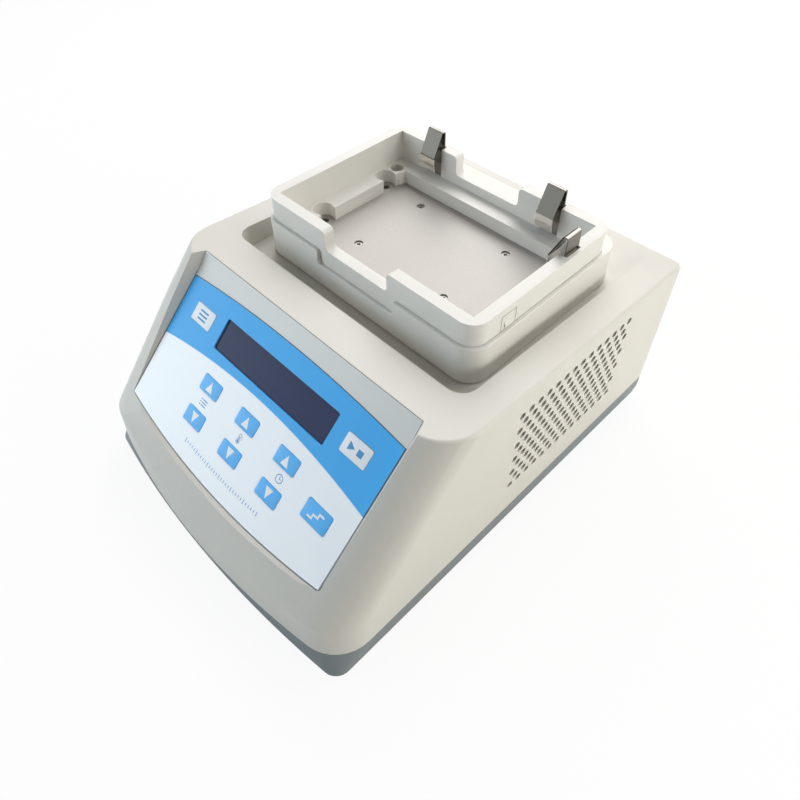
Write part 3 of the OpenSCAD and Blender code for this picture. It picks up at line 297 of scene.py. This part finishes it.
def group(name, inputs, outputs, build):
    """Node group with named sockets, made once and then reused."""
    found = bpy.data.node_groups.get(name)
    if found:
        return found
    tree = bpy.data.node_groups.new(name, "ShaderNodeTree")
    kinds = {"c": "NodeSocketColor", "f": "NodeSocketFloat", "v": "NodeSocketVector"}
    for label, kind, default in inputs:
        socket = tree.interface.new_socket(label, in_out="INPUT", socket_type=kinds[kind])
        socket.default_value = default
    for label, kind in outputs:
        tree.interface.new_socket(label, in_out="OUTPUT", socket_type=kinds[kind])
    t = Tree(tree)
    source = t.add("NodeGroupInput")
    sink = t.add("NodeGroupOutput")
    for label, value in build(t, source.outputs).items():
        t.set(sink, label, value)
    return tree


def moulded_group():
    """Moulded plastic: a faint cloudy tone, a fine spark-eroded grain and a little dust on faces that look up."""

    def build(t, i):
        p = t.place()
        cloud = t.noise(p, 22.0, 3.0, 0.55)
        tone = t.ramp(cloud, 0.3, 0.7, 1.0, 0.0)
        shade = t.times(tone, i["Mottle"])
        colour_out = t.mix(shade, i["Colour"], i["Deep"])
        up = t.split(t.add("ShaderNodeNewGeometry").outputs["Normal"])[2]
        specks = t.ramp(t.noise(p, 900.0, 3.0, 0.7), 0.6, 0.74)
        dust = t.times(t.times(t.ramp(up, 0.6, 1.0), specks), i["Dust"])
        colour_out = t.mix(dust, colour_out, (0.62, 0.6, 0.55, 1))
        fine = t.noise(p, i["Grain scale"], 2.0, 0.6)
        rough = t.plus(i["Roughness"], t.times(t.minus(fine, 0.5), 0.18))
        bump = t.add("ShaderNodeBump", {"Strength": i["Grain depth"], "Distance": 0.0001, "Height": fine})
        return {"Colour": colour_out, "Roughness": rough, "Normal": bump.outputs[0]}

    return group(
        "moulded_surface",
        [
            ("Colour", "c", (0.8, 0.8, 0.8, 1)), ("Deep", "c", (0.7, 0.7, 0.7, 1)), ("Mottle", "f", 0.5),
            ("Grain scale", "f", 1800.0), ("Grain depth", "f", 0.3), ("Roughness", "f", 0.5), ("Dust", "f", 0.1),
        ],
        [("Colour", "c"), ("Roughness", "f"), ("Normal", "v")],
        build,
    )


def metal_group():
    """Worked metal: fine lines stretched along one axis, blasted pits between them and a slow change of tone."""

    def build(t, i):
        p = t.place()
        lines = t.noise(
            t.add("ShaderNodeVectorMath", {0: p, 1: i["Line scale"]}, operation="MULTIPLY").outputs[0],
            1.0, 4.0, 0.6,
        )
        pits = t.noise(p, i["Pit scale"], 3.0, 0.65)
        tone = t.noise(p, 30.0, 2.0, 0.5)
        amount = t.plus(t.times(t.minus(lines, 0.5), i["Lines"]),
                        t.times(t.minus(pits, 0.5), i["Pits"]))
        amount = t.plus(amount, t.times(t.minus(tone, 0.5), 0.12))
        shade = t.plus(1.0, amount)
        colour_out = t.mix(1.0, i["Colour"], t.grey(shade), "MULTIPLY")
        rough = t.plus(i["Roughness"], t.times(amount, 0.35))
        height = t.plus(t.times(lines, i["Lines"]), t.times(pits, i["Pits"]))
        bump = t.add("ShaderNodeBump", {"Strength": 0.35, "Distance": 0.0001, "Height": height})
        return {"Colour": colour_out, "Roughness": rough, "Normal": bump.outputs[0]}

    return group(
        "worked_metal",
        [
            ("Colour", "c", (0.7, 0.7, 0.7, 1)), ("Line scale", "v", (60.0, 3000.0, 3000.0)), ("Lines", "f", 0.2),
            ("Pit scale", "f", 2600.0), ("Pits", "f", 0.2), ("Roughness", "f", 0.35),
        ],
        [("Colour", "c"), ("Roughness", "f"), ("Normal", "v")],
        build,
    )


def new_material(name):
    material = bpy.data.materials.new(name)
    material.use_nodes = True
    material.node_tree.nodes.clear()
    t = Tree(material.node_tree)
    return material, t


def finish_material(t, material, effect, **shader):
    """Principled BSDF fed by an effect's colour, roughness and normal. Other sockets are named with _ for a space."""
    inputs = {"Base Color": effect.outputs["Colour"]}
    inputs.update({key: effect.outputs[key] for key in ("Roughness", "Normal")})
    inputs.update({key.replace("_", " "): value for key, value in shader.items()})
    bsdf = t.add("ShaderNodeBsdfPrincipled", inputs)
    t.add("ShaderNodeOutputMaterial", {"Surface": bsdf.outputs[0]})
    return material


def rgba(c, k=1.0):
    return (c[0] * k, c[1] * k, c[2] * k, 1.0)


def moulded(name, c, rough=0.5, grain=0.25, scale=1800.0, mottle=0.5, dust=0.1, deep=0.93, **shader):
    """Plain moulded plastic or rubber in one colour. deep is how dark its clouds are."""
    material, t = new_material(name)
    effect = t.add("ShaderNodeGroup", {
        "Colour": rgba(c), "Deep": rgba(c, deep), "Mottle": mottle, "Grain scale": scale,
        "Grain depth": grain, "Roughness": rough, "Dust": dust,
    }, node_tree=moulded_group())
    return finish_material(t, material, effect, **shader)


def metal(name, c, rough=0.35, lines=0.2, pits=0.1, along=(60.0, 3000.0, 3000.0), pit_scale=2600.0,
          metallic=1.0, nose_painted_reflection=None):
    """Metal with worked lines along one axis and blasted pits. The colour given for the part below the bend of a
    clip's leaf is painted reflection, bright against the slope above it.
    """
    material, t = new_material(name)
    tint = rgba(c)
    # Painted reflection: the leaf bright below its bend and dark above it
    if nose_painted_reflection:
        tint = t.mix(t.ramp(t.split(t.place())[2], *CLIP_REFLECTION_BEND), rgba(nose_painted_reflection), tint)
    effect = t.add("ShaderNodeGroup", {
        "Colour": tint, "Line scale": along, "Lines": lines, "Pit scale": pit_scale, "Pits": pits,
        "Roughness": rough,
    }, node_tree=metal_group())
    return finish_material(t, material, effect, Metallic=metallic)


def paint(node, material):
    """Gives a CAD node's object its finish, leaving its mesh alone."""
    for slot in NODES[node].material_slots:
        slot.link = "OBJECT"
        slot.material = material


# ---------------------------------------------------------------- mesh helpers


def to_panel(x, v, w):
    """Panel coordinates in millimetres (across, down the slope, out of it) as points in metres."""
    x, v, w = np.broadcast_arrays(x, v, w)
    return (
        PANEL_POINT
        + x[..., None] * MM * np.array([1.0, 0.0, 0.0])
        + v[..., None] * MM * PANEL_DOWN
        + w[..., None] * MM * PANEL_OUT
    )


def grid_faces(rows, cols, wrap=False, start=0, flip=False):
    """Quads of a rows by cols grid of points, closed along the columns if wrap."""
    r = np.arange(rows - 1)[:, None]
    c = np.arange(cols if wrap else cols - 1)[None, :]
    n = (c + 1) % cols
    f = np.stack([r * cols + c, r * cols + n, (r + 1) * cols + n, (r + 1) * cols + c], -1).reshape(-1, 4) + start
    return f[:, ::-1] if flip else f


def mesh_object(name, points, faces, material, sharp=None):
    """Object at the origin from points and faces, with doubles merged and normals turned outwards. Shading breaks
    past sharp degrees, or nowhere."""
    mesh = bpy.data.meshes.new(name)
    mesh.from_pydata(np.asarray(points, float).reshape(-1, 3).tolist(), [], [list(map(int, f)) for f in faces])
    bm = bmesh.new()
    bm.from_mesh(mesh)
    bmesh.ops.remove_doubles(bm, verts=bm.verts, dist=WELD)
    bmesh.ops.dissolve_degenerate(bm, edges=bm.edges, dist=WELD)
    bmesh.ops.recalc_face_normals(bm, faces=bm.faces)
    bm.to_mesh(mesh)
    bm.free()
    mesh.shade_smooth()
    if sharp is not None:
        mesh.set_sharp_from_angle(angle=math.radians(sharp))
    mesh.materials.append(material)
    obj = bpy.data.objects.new(name, mesh)
    bpy.context.scene.collection.objects.link(obj)
    return obj


def slab(x, v, low, high, wrap=False):
    """Closed slab over a grid of panel points: a top sheet at height high, the same sheet at low and a wall between.
    x, v, low and high are grids in millimetres; wrap closes the grid along its columns."""
    rows, cols = x.shape
    top, bottom = to_panel(x, v, high), to_panel(x, v, low)
    n = rows * cols
    faces = [grid_faces(rows, cols, wrap), grid_faces(rows, cols, wrap, n, True)]
    index = np.arange(n).reshape(rows, cols)
    edges = [index[0], index[-1]] + ([] if wrap else [index[:, 0], index[:, -1]])
    for e in edges:
        e = np.append(e, e[0]) if wrap else e
        faces.append(np.stack([e[:-1], e[1:], e[1:] + n, e[:-1] + n], -1))
    return np.concatenate([top.reshape(-1, 3), bottom.reshape(-1, 3)]), np.concatenate(faces)


def joined(parts):
    """Several (points, faces) as one."""
    points, faces, start = [], [], 0
    for p, f in parts:
        points.append(p)
        faces.append(f + start)
        start += len(p)
    return np.concatenate(points), np.concatenate(faces)


def rounded_plan(w, d, r, n=6):
    """Points round a rectangle w by d with corner radius r, anticlockwise: four quarter circles of n steps each."""
    a = np.linspace(0, math.pi / 2, n + 1)
    x, y = w / 2 - r, d / 2 - r
    corners = []
    for quarter, (cx, cy) in enumerate(((x, y), (-x, y), (-x, -y), (x, -y))):
        turn = a + quarter * math.pi / 2
        corners.append(np.stack([cx + r * np.cos(turn), cy + r * np.sin(turn)], -1))
    return np.concatenate(corners)


def triangle(half, tall, up):
    """Triangle as a grid: rows run from the point to the foot, and each row spans the width there."""
    t = np.linspace(0, 1, 9)[:, None]
    u = np.linspace(-1, 1, 7)[None, :]
    return half * t * u, up * tall * (t - 0.5) * np.ones_like(u)


def turned(shape, x0, v0):
    """The same shape turned a quarter so that its point looks right, and moved."""
    return x0 - shape[1], v0 + shape[0]


def bar(x_low, x_high, v_low, v_high):
    """Rectangle as a grid of its two spans."""
    return np.meshgrid(np.linspace(x_low, x_high, 9), np.linspace(v_low, v_high, 4), indexing="ij")


def ring(x0, v0, inner, outer, start=0.0, end=360.0):
    """Part of a ring as a grid of radius and angle. Angles in degrees run from across to down the slope."""
    r, a = np.meshgrid(
        np.linspace(max(inner, 0.001), outer, 3), np.radians(np.linspace(start, end, 25)), indexing="ij")
    return x0 + r * np.cos(a), v0 + r * np.sin(a)


def dome(x, v, size):
    """Height of a cushion-shaped key in millimetres: its dome times one less the fourth power of each half-span."""
    w, d = size
    spans = np.clip(1 - np.abs(2 * x / w) ** 4, 0, 1) * np.clip(1 - np.abs(2 * v / d) ** 4, 0, 1)
    return measures().key_dome / MM * spans


def softened(node, material, width, keep, steps=3):
    """Copy of a CAD node with its triangles merged into faces and its edges rounded, standing for the node.
    keep picks the edges to round from the middles of all sharp edges."""
    source = NODES[node]
    bm = bmesh.new()
    bm.from_mesh(source.data)
    bmesh.ops.remove_doubles(bm, verts=bm.verts, dist=CAD_WELD)
    bmesh.ops.dissolve_limit(
        bm, angle_limit=math.radians(FLAT_BELOW), verts=bm.verts, edges=bm.edges, use_dissolve_boundaries=False
    )
    mesh = bpy.data.meshes.new(node + "_soft")
    bm.normal_update()
    limit = math.radians(ROUND_PAST)
    weight = bm.edges.layers.float.new("bevel_weight_edge")
    for e in bm.edges:
        if len(e.link_faces) == 2 and e.calc_face_angle(0.0) > limit and keep((e.verts[0].co + e.verts[1].co) / 2):
            e[weight] = 1.0
    bm.to_mesh(mesh)
    bm.free()
    if "custom_normal" in mesh.attributes:
        mesh.attributes.remove(mesh.attributes["custom_normal"])
    mesh.materials.clear()
    mesh.materials.append(material)
    mesh.shade_smooth()
    mesh.set_sharp_from_angle(angle=math.radians(SHADE_BREAK))
    obj = bpy.data.objects.new(node + "_soft", mesh)
    bpy.context.scene.collection.objects.link(obj)
    bevel = obj.modifiers.new("rounded_edges", "BEVEL")
    bevel.limit_method = "WEIGHT"
    bevel.width = width
    bevel.segments = steps
    bevel.use_clamp_overlap = True
    bevel.miter_outer = "MITER_ARC"
    even = obj.modifiers.new("flat_faces_stay_flat", "WEIGHTED_NORMAL")
    even.mode = "FACE_AREA"
    even.weight = 80
    even.keep_sharp = True
    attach(obj, source["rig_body"])
    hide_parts(node)


# ---------------------------------------------------------------- operators: one for each group of pieces


class HEATER_OT_shell(bpy.types.Operator):
    """Ivory upper housing"""

    bl_idname = "heater.shell"
    bl_label = "Upper Housing"

    def execute(self, context):
        ivory = moulded("ivory_shell", colours().shell, rough=0.46, grain=0.22, mottle=0.35, dust=0.12)
        softened("upper_housing", ivory, measures().edge, self.outer_edge)
        return {"FINISHED"}

    @staticmethod
    def outer_edge(p):
        """Edges of the panel's recess, the ledge, the well and the power entry, but not of the vent holes."""
        return abs(p.x) < 0.094 and (p.y > 0.112 or p.z > 0.09 or p.y < -0.04 and p.z > 0.03)


class HEATER_OT_base(bpy.types.Operator):
    """Grey lower housing and its rubber feet"""

    bl_idname = "heater.base"
    bl_label = "Base and Feet"

    def execute(self, context):
        grey = moulded("grey_base", colours().base, rough=0.5, grain=0.3, mottle=0.4, dust=0.05)
        softened("lower_housing", grey, 0.3 * MM, self.foot_edge, steps=2)
        rubber = moulded("foot_rubber", linear(46, 46, 48), rough=0.75, grain=0.5, scale=2400.0, dust=0.2)
        paint("rubber_feet", rubber)
        return {"FINISHED"}

    @staticmethod
    def foot_edge(p):
        """Edges round the underside."""
        return p.z < 0.005


class HEATER_OT_bezel(bpy.types.Operator):
    """Silver bezel whose strip shows above the membrane"""

    bl_idname = "heater.bezel"
    bl_label = "Bezel"

    def execute(self, context):
        paint("front_bezel", metal(
            "silver_paint", colours().silver, rough=0.45, lines=0.0, pits=0.3, pit_scale=3200.0, metallic=0.35))
        return {"FINISHED"}


class HEATER_OT_membrane(bpy.types.Operator):
    """Printed membrane: blue above an arc, white below it, with a painted shadow of the gap along its cut edge"""

    bl_idname = "heater.membrane"
    bl_label = "Membrane"

    def execute(self, context):
        c = colours()
        material, t = new_material("printed_film")
        x, y, z = t.split(t.place())
        down = t.plus(t.times(t.minus(y, float(PANEL_POINT[1])), float(PANEL_DOWN[1])),
                      t.times(t.minus(z, float(PANEL_POINT[2])), float(PANEL_DOWN[2])))
        square = t.times(x, x)
        arc = t.plus(ARC_MIDDLE, t.times(square, ARC_DROP / ARC_AT**2))
        white = t.ramp(t.minus(down, arc), -0.00005, 0.00005)
        tint = t.mix(white, rgba(c.panel_blue), rgba(c.panel_white))
        # Painted shadow: dark grey along the film's edge, standing for the shade in the gap round the film
        tint = t.mix(self.painted_gap_shadow(t, x, down, square), tint, rgba(linear(58, 70, 78)))
        effect = t.add("ShaderNodeGroup", {
            "Colour": tint, "Deep": t.mix(1.0, tint, (0.96, 0.96, 0.97, 1), "MULTIPLY"), "Mottle": 0.4,
            "Grain scale": 2600.0, "Grain depth": 0.12, "Roughness": 0.34, "Dust": 0.0,
        }, node_tree=moulded_group())
        finish_material(t, material, effect, Specular_IOR_Level=0.3, Coat_Weight=white, Coat_Roughness=0.34)
        paint("panel_overlay", material)
        return {"FINISHED"}

    @staticmethod
    def painted_gap_shadow(t, x, down, square):
        """Mask of the painted shadow of the gap round the film: one within 0.3 mm of its straight sides or of its
        bowed top and foot, both parabolas in x. It is 0.4 mm broader at the right, where the film stands off its
        recess and that shadow is wider."""
        bow = t.minus(1.0, t.times(square, 1 / FILM_HALF**2))
        sides = t.minus(t.minus(FILM_HALF, t.math("ABSOLUTE", x)), t.ramp(x, 0.0, 0.001, 0.0, 0.0004))
        top = t.plus(down, t.times(bow, FILM_TOP_BOW))
        foot = t.minus(t.plus(FILM_FOOT, t.times(bow, FILM_FOOT_BOW)), down)
        nearest = t.math("MINIMUM", t.math("MINIMUM", sides, top), foot)
        return t.ramp(nearest, 0.0003, 0.00045, 1.0, 0.0)


class HEATER_OT_window(bpy.types.Operator):
    """Smoked window and the display behind it"""

    bl_idname = "heater.window"
    bl_label = "Display"

    def execute(self, context):
        paint("display_window", moulded(
            "smoked_window", colours().window, rough=0.2, grain=0.02, mottle=0.2, dust=0.0,
            Specular_IOR_Level=0.12))
        paint("display_module", moulded("display_body", linear(30, 34, 40), rough=0.5, grain=0.2))
        return {"FINISHED"}


class HEATER_OT_keys(bpy.types.Operator):
    """Nine domed keys with their printed symbols"""

    bl_idname = "heater.keys"
    bl_label = "Keys"

    def execute(self, context):
        c = colours()
        finish = {"grain": 0.12, "scale": 2600.0, "mottle": 0.3, "dust": 0.0}
        white = moulded("key_white", c.panel_white, rough=0.34, **finish)
        blue = moulded("key_blue", c.panel_blue, rough=0.32, **finish)
        ink = moulded("ink_blue", c.ink, rough=0.4, grain=0.1, dust=0.0)
        ink_white = moulded("ink_white", linear(253, 254, 255), rough=0.4, grain=0.1, dust=0.0)
        for node, at in WIDE_KEYS.items():
            self.cap(node, at, WIDE_KEY_SIZE, blue if node == "key_multi_step" else white)
        for node, (x0, v0, up) in ARROW_KEYS.items():
            self.cap(node, (x0, v0), ARROW_KEY_SIZE, blue)
            self.sign(node, "_arrow", [triangle(2.5, 5.6, up)], (x0, v0), ARROW_KEY_SIZE, ink_white)
        lines = [bar(-3.4, 3.4, v - 0.45, v + 0.45) for v in (-2.2, 0.0, 2.2)]
        play_stop = [turned(triangle(2.2, 3.8, 1), -2.6, 0.0), bar(1.1, 4.3, -1.6, 1.6)]
        # treads of a stair, each 3 mm further along and 2.1 mm higher, and the risers between them
        level = [2.2 - 2.1 * i for i in range(3)]
        stair = [bar(3 * i - 4.5, 3 * i - 1.7, level[i] - 0.5, level[i] + 0.4) for i in range(3)]
        stair += [bar(3 * i - 2.1, 3 * i - 1.3, level[i + 1] - 0.5, level[i] + 0.4) for i in range(2)]
        for node, shapes, tint in (
            ("key_option", lines, ink), ("key_start_stop", play_stop, ink), ("key_multi_step", stair, ink_white),
        ):
            self.sign(node, "_symbol", shapes, WIDE_KEYS[node], WIDE_KEY_SIZE, tint)
        return {"FINISHED"}

    @staticmethod
    def cap(node, at, size, material):
        """Dome on a key: rings of the rounded plan shrunk towards the middle, each at the cushion's height. The
        outer rings close up along a cosine, so that the rim turns over softly."""
        paint(node, material)
        plan = rounded_plan(size[0] - CAP_INSET, size[1] - CAP_INSET, CAP_CORNER)
        rim = 1 - CAP_ROLL * (1 - np.cos(np.linspace(0, math.pi / 2, 6)))
        shrink = np.concatenate([rim, np.linspace(CAP_INNER, 0.0, 14)])[:, None]
        x = shrink * plan[None, :, 0]
        v = shrink * plan[None, :, 1]
        top = CAP_LIFT + dome(x, v, size)
        top[0] = CAP_RIM
        shape = slab(at[0] + x, at[1] + v, np.zeros_like(x), top, wrap=True)
        piece = mesh_object(node + "_cap", *shape, material, sharp=50.0)
        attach(piece, node)

    @staticmethod
    def sign(node, ending, shapes, at, size, material):
        """Printed symbol laid on the key's dome."""
        parts = []
        for x, v in shapes:
            low = SIGN_START + dome(x, v, size)
            parts.append(slab(at[0] + x, at[1] + v, low, low + SIGN_ROOT + measures().print_depth / MM))
        piece = mesh_object(node + ending, *joined(parts), material, sharp=40.0)
        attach(piece, node)


class HEATER_OT_symbols(bpy.types.Operator):
    """Symbols printed on the membrane: list, thermometer and clock between the arrows, a plain scale below them"""

    bl_idname = "heater.symbols"
    bl_label = "Panel Symbols"

    def execute(self, context):
        self.print_on("symbol_program", -30.3, 49.7, [
            *[bar(-1.3, 2.5, v - 0.28, v + 0.28) for v in (-1.5, 0.0, 1.5)],
            *[ring(-2.3, v, 0.0, 0.38) for v in (-1.5, 0.0, 1.5)]])
        self.print_on("symbol_temperature", 0.5, 49.7, [
            ring(0.0, 1.45, 0.0, 0.72), ring(0.0, 1.45, 0.98, 1.28, -50.0, 230.0), bar(-0.2, 0.2, -1.2, 1.0),
            bar(-0.8, -0.5, -1.9, 0.5), bar(0.5, 0.8, -1.9, 0.5), ring(0.0, -1.9, 0.5, 0.8, 180.0, 360.0),
            *[bar(1.3, 2.0, v - 0.14, v + 0.14) for v in (-1.7, -0.9, -0.1)]])
        self.print_on("symbol_time", 32.4, 49.7, [
            ring(0.0, 0.0, 1.9, 2.3), bar(-0.18, 0.18, -1.45, 0.1), bar(-0.1, 1.1, -0.1, 0.26)])
        self.print_on("symbol_scale", 0.0, 0.0, self.scale(31, 2.0, 1.3, 71.7, 867.0))
        return {"FINISHED"}

    @staticmethod
    def scale(count, pitch, middle, v, bow):
        """Graduations side by side along the parabola v - x * x / bow, with a longer one at every fifth."""
        marks = []
        for i in range(count):
            x = middle + pitch * (i - (count - 1) / 2)
            half = 1.25 if i % 5 == 0 else 0.75
            low = v - x * x / bow
            marks.append(bar(x - 0.2, x + 0.2, low - half, low + half))
        return marks

    @staticmethod
    def print_on(name, x0, v0, shapes):
        """Flat print on the membrane's face."""
        ink = bpy.data.materials.get("print_blue")
        ink = ink or moulded("print_blue", colours().ink, rough=0.4, grain=0.1, dust=0.0)
        top = PRINT_AT + measures().print_depth / MM
        parts = [slab(x0 + x, v0 + v, np.full_like(x, PRINT_AT), np.full_like(x, top)) for x, v in shapes]
        piece = mesh_object(name, *joined(parts), ink, sharp=40.0)
        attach(piece, "housing")


class HEATER_OT_tray(bpy.types.Operator):
    """Block frame and the collar that carries it"""

    bl_idname = "heater.tray"
    bl_label = "Tray"

    def execute(self, context):
        ivory = moulded("tray_ivory", colours().tray, rough=0.44, grain=0.2, mottle=0.3, dust=0.1)
        softened("block_frame", ivory, 1.6 * measures().edge, self.above_shelves)
        softened("frame_collar", ivory, measures().edge, self.outside_of_collar)
        return {"FINISHED"}

    @staticmethod
    def above_shelves(p):
        """Edges of the block frame from its shelves up."""
        return p.z > 0.112

    @staticmethod
    def outside_of_collar(p):
        """Upper edges of the collar, apart from the inner one that meets the block frame."""
        dx = max(abs(p.x) - COLLAR_HALF[0], 0.0)
        dy = max(abs(p.y - COLLAR_MIDDLE) - COLLAR_HALF[1], 0.0)
        return p.z > 0.1 and math.hypot(dx, dy) > COLLAR_CORNER


class HEATER_OT_plate(bpy.types.Operator):
    """Bead-blasted heating plate with its screws"""

    bl_idname = "heater.plate"
    bl_label = "Heating Plate"

    def execute(self, context):
        paint("heating_plate", metal(
            "blasted_plate", colours().plate, rough=0.5, lines=0.02, pits=0.45, pit_scale=1900.0, metallic=0.3))
        screws = metal("screw_steel", linear(116, 114, 110), rough=0.28, lines=0.05, pits=0.05)
        for node in ("plate_screws", "panel_screws", "fan_screws", "board_screws", "collar_screws", "base_screws"):
            paint(node, screws)
        return {"FINISHED"}


class HEATER_OT_clips(bpy.types.Operator):
    """Spring steel clips, with painted reflection on their leaves"""

    bl_idname = "heater.clips"
    bl_label = "Spring Clips"

    def execute(self, context):
        c = colours()
        finish = {"lines": 0.14, "pits": 0.04, "along": (2500.0, 2500.0, 90.0)}
        hook = metal("hook_steel", c.steel, rough=0.24, **finish)
        # Painted reflection on the leaves: dark on their slope, bright below the bend
        leaf = metal("leaf_steel", c.leaf, rough=0.2, nose_painted_reflection=linear(236, 232, 226), **finish)
        for side in ("rear_left", "rear_right", "side"):
            paint(f"clip_hook_{side}", hook)
            paint(f"clip_leaf_{side}", leaf)
        return {"FINISHED"}


class HEATER_OT_inside(bpy.types.Operator):
    """Heating, cooling and electrics inside the housing"""

    bl_idname = "heater.inside"
    bl_label = "Inner Pieces"

    def execute(self, context):
        paint("insulation_gasket", moulded("foam_rubber", linear(40, 40, 42), rough=0.9, grain=0.8, scale=900.0))
        paint("peltier_modules", moulded("module_ceramic", linear(236, 236, 232), rough=0.4, grain=0.1))
        paint("heat_sink", metal("sink_aluminium", linear(196, 198, 200), rough=0.36, lines=0.25, pits=0.05))
        black = moulded("fan_black", linear(34, 34, 36), rough=0.45, grain=0.2)
        paint("fan_frame", black)
        paint("fan_rotor", black)
        paint("temperature_probe", metal("probe_steel", linear(200, 200, 200), rough=0.25, lines=0.1))
        paint("thermal_cutout", moulded("cutout_black", linear(38, 38, 38), rough=0.5))
        board = moulded(
            "board_green", linear(30, 100, 62), rough=0.3, grain=0.1, scale=1200.0, mottle=0.8, deep=0.75)
        paint("control_board", board)
        paint("key_board", board)
        paint("power_supply", metal("supply_case", linear(190, 192, 194), rough=0.4, lines=0.15))
        return {"FINISHED"}


class HEATER_OT_entry(bpy.types.Operator):
    """Mains inlet, fuse drawer and power switch at the rear"""

    bl_idname = "heater.entry"
    bl_label = "Power Entry"

    def execute(self, context):
        black = moulded("entry_black", linear(30, 30, 32), rough=0.34, grain=0.15)
        for node in ("mains_inlet", "fuse_drawer", "switch_body", "power_rocker"):
            paint(node, black)
        return {"FINISHED"}


class HEATER_OT_stage(bpy.types.Operator):
    """Floor, soft lights and camera"""

    bl_idname = "heater.stage"
    bl_label = "Studio"

    def execute(self, context):
        v = studio()
        scene = context.scene
        scene.view_settings.view_transform = "Standard"
        self.floor()
        self.world(v.world)
        for name, (way, distance, size, tint) in LAMPS.items():
            self.light(name + "_light", way, distance, size, linear(*tint), getattr(v, name + "_power"))
        lens = bpy.data.cameras.new("camera")
        lens.lens = v.lens
        lens.sensor_width = SENSOR
        lens.shift_x, lens.shift_y = CAMERA_SHIFT
        lens.clip_start = 0.01
        camera = bpy.data.objects.new("camera", lens)
        camera.location = CAMERA_AT
        camera.rotation_euler = [math.radians(a) for a in CAMERA_TURN]
        scene.collection.objects.link(camera)
        scene.camera = camera
        return {"FINISHED"}

    @staticmethod
    def light(name, way, distance, size, tint, power):
        """Soft disc that faces a point 50 mm above the table from the given direction."""
        lamp_data = bpy.data.lights.new(name, "AREA")
        lamp_data.shape = "DISK"
        lamp_data.size = size
        lamp_data.energy = power
        lamp_data.color = tint
        way = Vector(way).normalized()
        obj = bpy.data.objects.new(name, lamp_data)
        obj.location = way * distance + Vector((0, 0, LAMP_AIM))
        obj.rotation_euler = (-way).to_track_quat("-Z", "Y").to_euler()
        bpy.context.scene.collection.objects.link(obj)

    @staticmethod
    def world(strength):
        """Even white room light; the camera, mirrors and glass see plain white."""
        world = bpy.data.worlds.new("room")
        bpy.context.scene.world = world
        world.use_nodes = True
        t = Tree(world.node_tree)
        world.node_tree.nodes.clear()
        ray = t.add("ShaderNodeLightPath")
        seen = t.math("MAXIMUM", ray.outputs["Is Camera Ray"], ray.outputs["Is Transmission Ray"])
        seen = t.math("MAXIMUM", seen, ray.outputs["Is Glossy Ray"])
        level = t.ramp(seen, 0.0, 1.0, strength, 1.0)
        back = t.add("ShaderNodeBackground", {"Color": (1, 1, 1, 1), "Strength": level})
        t.add("ShaderNodeOutputWorld", {"Surface": back.outputs[0]})

    @staticmethod
    def floor():
        """Pale floor: white paper that keeps a soft shadow and fades into the room's white."""
        material, t = new_material("white_paper")
        ray = t.add("ShaderNodeLightPath")
        fine = t.noise(t.place(), 6.0, 3.0, 0.5)
        tone = t.ramp(fine, 0.3, 0.7, 0.9, 0.915)
        paper = t.add("ShaderNodeBsdfDiffuse", {"Color": t.grey(tone)})
        glow = t.add("ShaderNodeEmission", {"Color": (1, 1, 1, 1), "Strength": 1.0})
        seen = t.times(ray.outputs["Is Camera Ray"], 0.92)
        both = t.add("ShaderNodeMixShader", {0: seen, 1: paper.outputs[0], 2: glow.outputs[0]})
        t.add("ShaderNodeOutputMaterial", {"Surface": both.outputs[0]})
        a = np.linspace(0, 2 * math.pi, FLOOR_SIDES, endpoint=False)
        r = np.array(FLOOR_RINGS)[:, None]
        points = np.stack([r * np.cos(a), r * np.sin(a), np.full((len(r), len(a)), -FLOOR_DROP)], -1)
        obj = mesh_object("floor", points, grid_faces(len(r), len(a), wrap=True), material)
        if obj.data.polygons[0].normal.z < 0:
            obj.data.flip_normals()


class HEATER_PT_panel(bpy.types.Panel):
    """Sizes, colours and steps of the heater"""

    bl_label = "Dry Block Heater"
    bl_idname = "HEATER_PT_panel"
    bl_space_type = "VIEW_3D"
    bl_region_type = "UI"
    bl_category = "Heater"

    def draw(self, context):
        for group_of in (colours(), measures(), studio()):
            box = self.layout.box()
            for key in group_of.__annotations__:
                box.prop(group_of, key)
        for step in STEPS:
            self.layout.operator(step.bl_idname)


STEPS = (
    HEATER_OT_shell, HEATER_OT_base, HEATER_OT_bezel, HEATER_OT_membrane, HEATER_OT_window, HEATER_OT_keys,
    HEATER_OT_symbols, HEATER_OT_tray, HEATER_OT_plate, HEATER_OT_clips, HEATER_OT_inside, HEATER_OT_entry,
    HEATER_OT_stage,
)
CLASSES = (HeaterColours, HeaterSizes, StudioValues, *STEPS, HEATER_PT_panel)


def register():
    for c in CLASSES:
        bpy.utils.register_class(c)
    bpy.types.Scene.heater_colours = PointerProperty(type=HeaterColours)
    bpy.types.Scene.heater_sizes = PointerProperty(type=HeaterSizes)
    bpy.types.Scene.heater_studio = PointerProperty(type=StudioValues)


def unregister():
    del bpy.types.Scene.heater_studio, bpy.types.Scene.heater_sizes, bpy.types.Scene.heater_colours
    for c in reversed(CLASSES):
        bpy.utils.unregister_class(c)


def main():
    register()
    for step in STEPS:
        area, name = step.bl_idname.split(".")
        getattr(getattr(bpy.ops, area), name)()


if __name__ == "__main__":
    main()
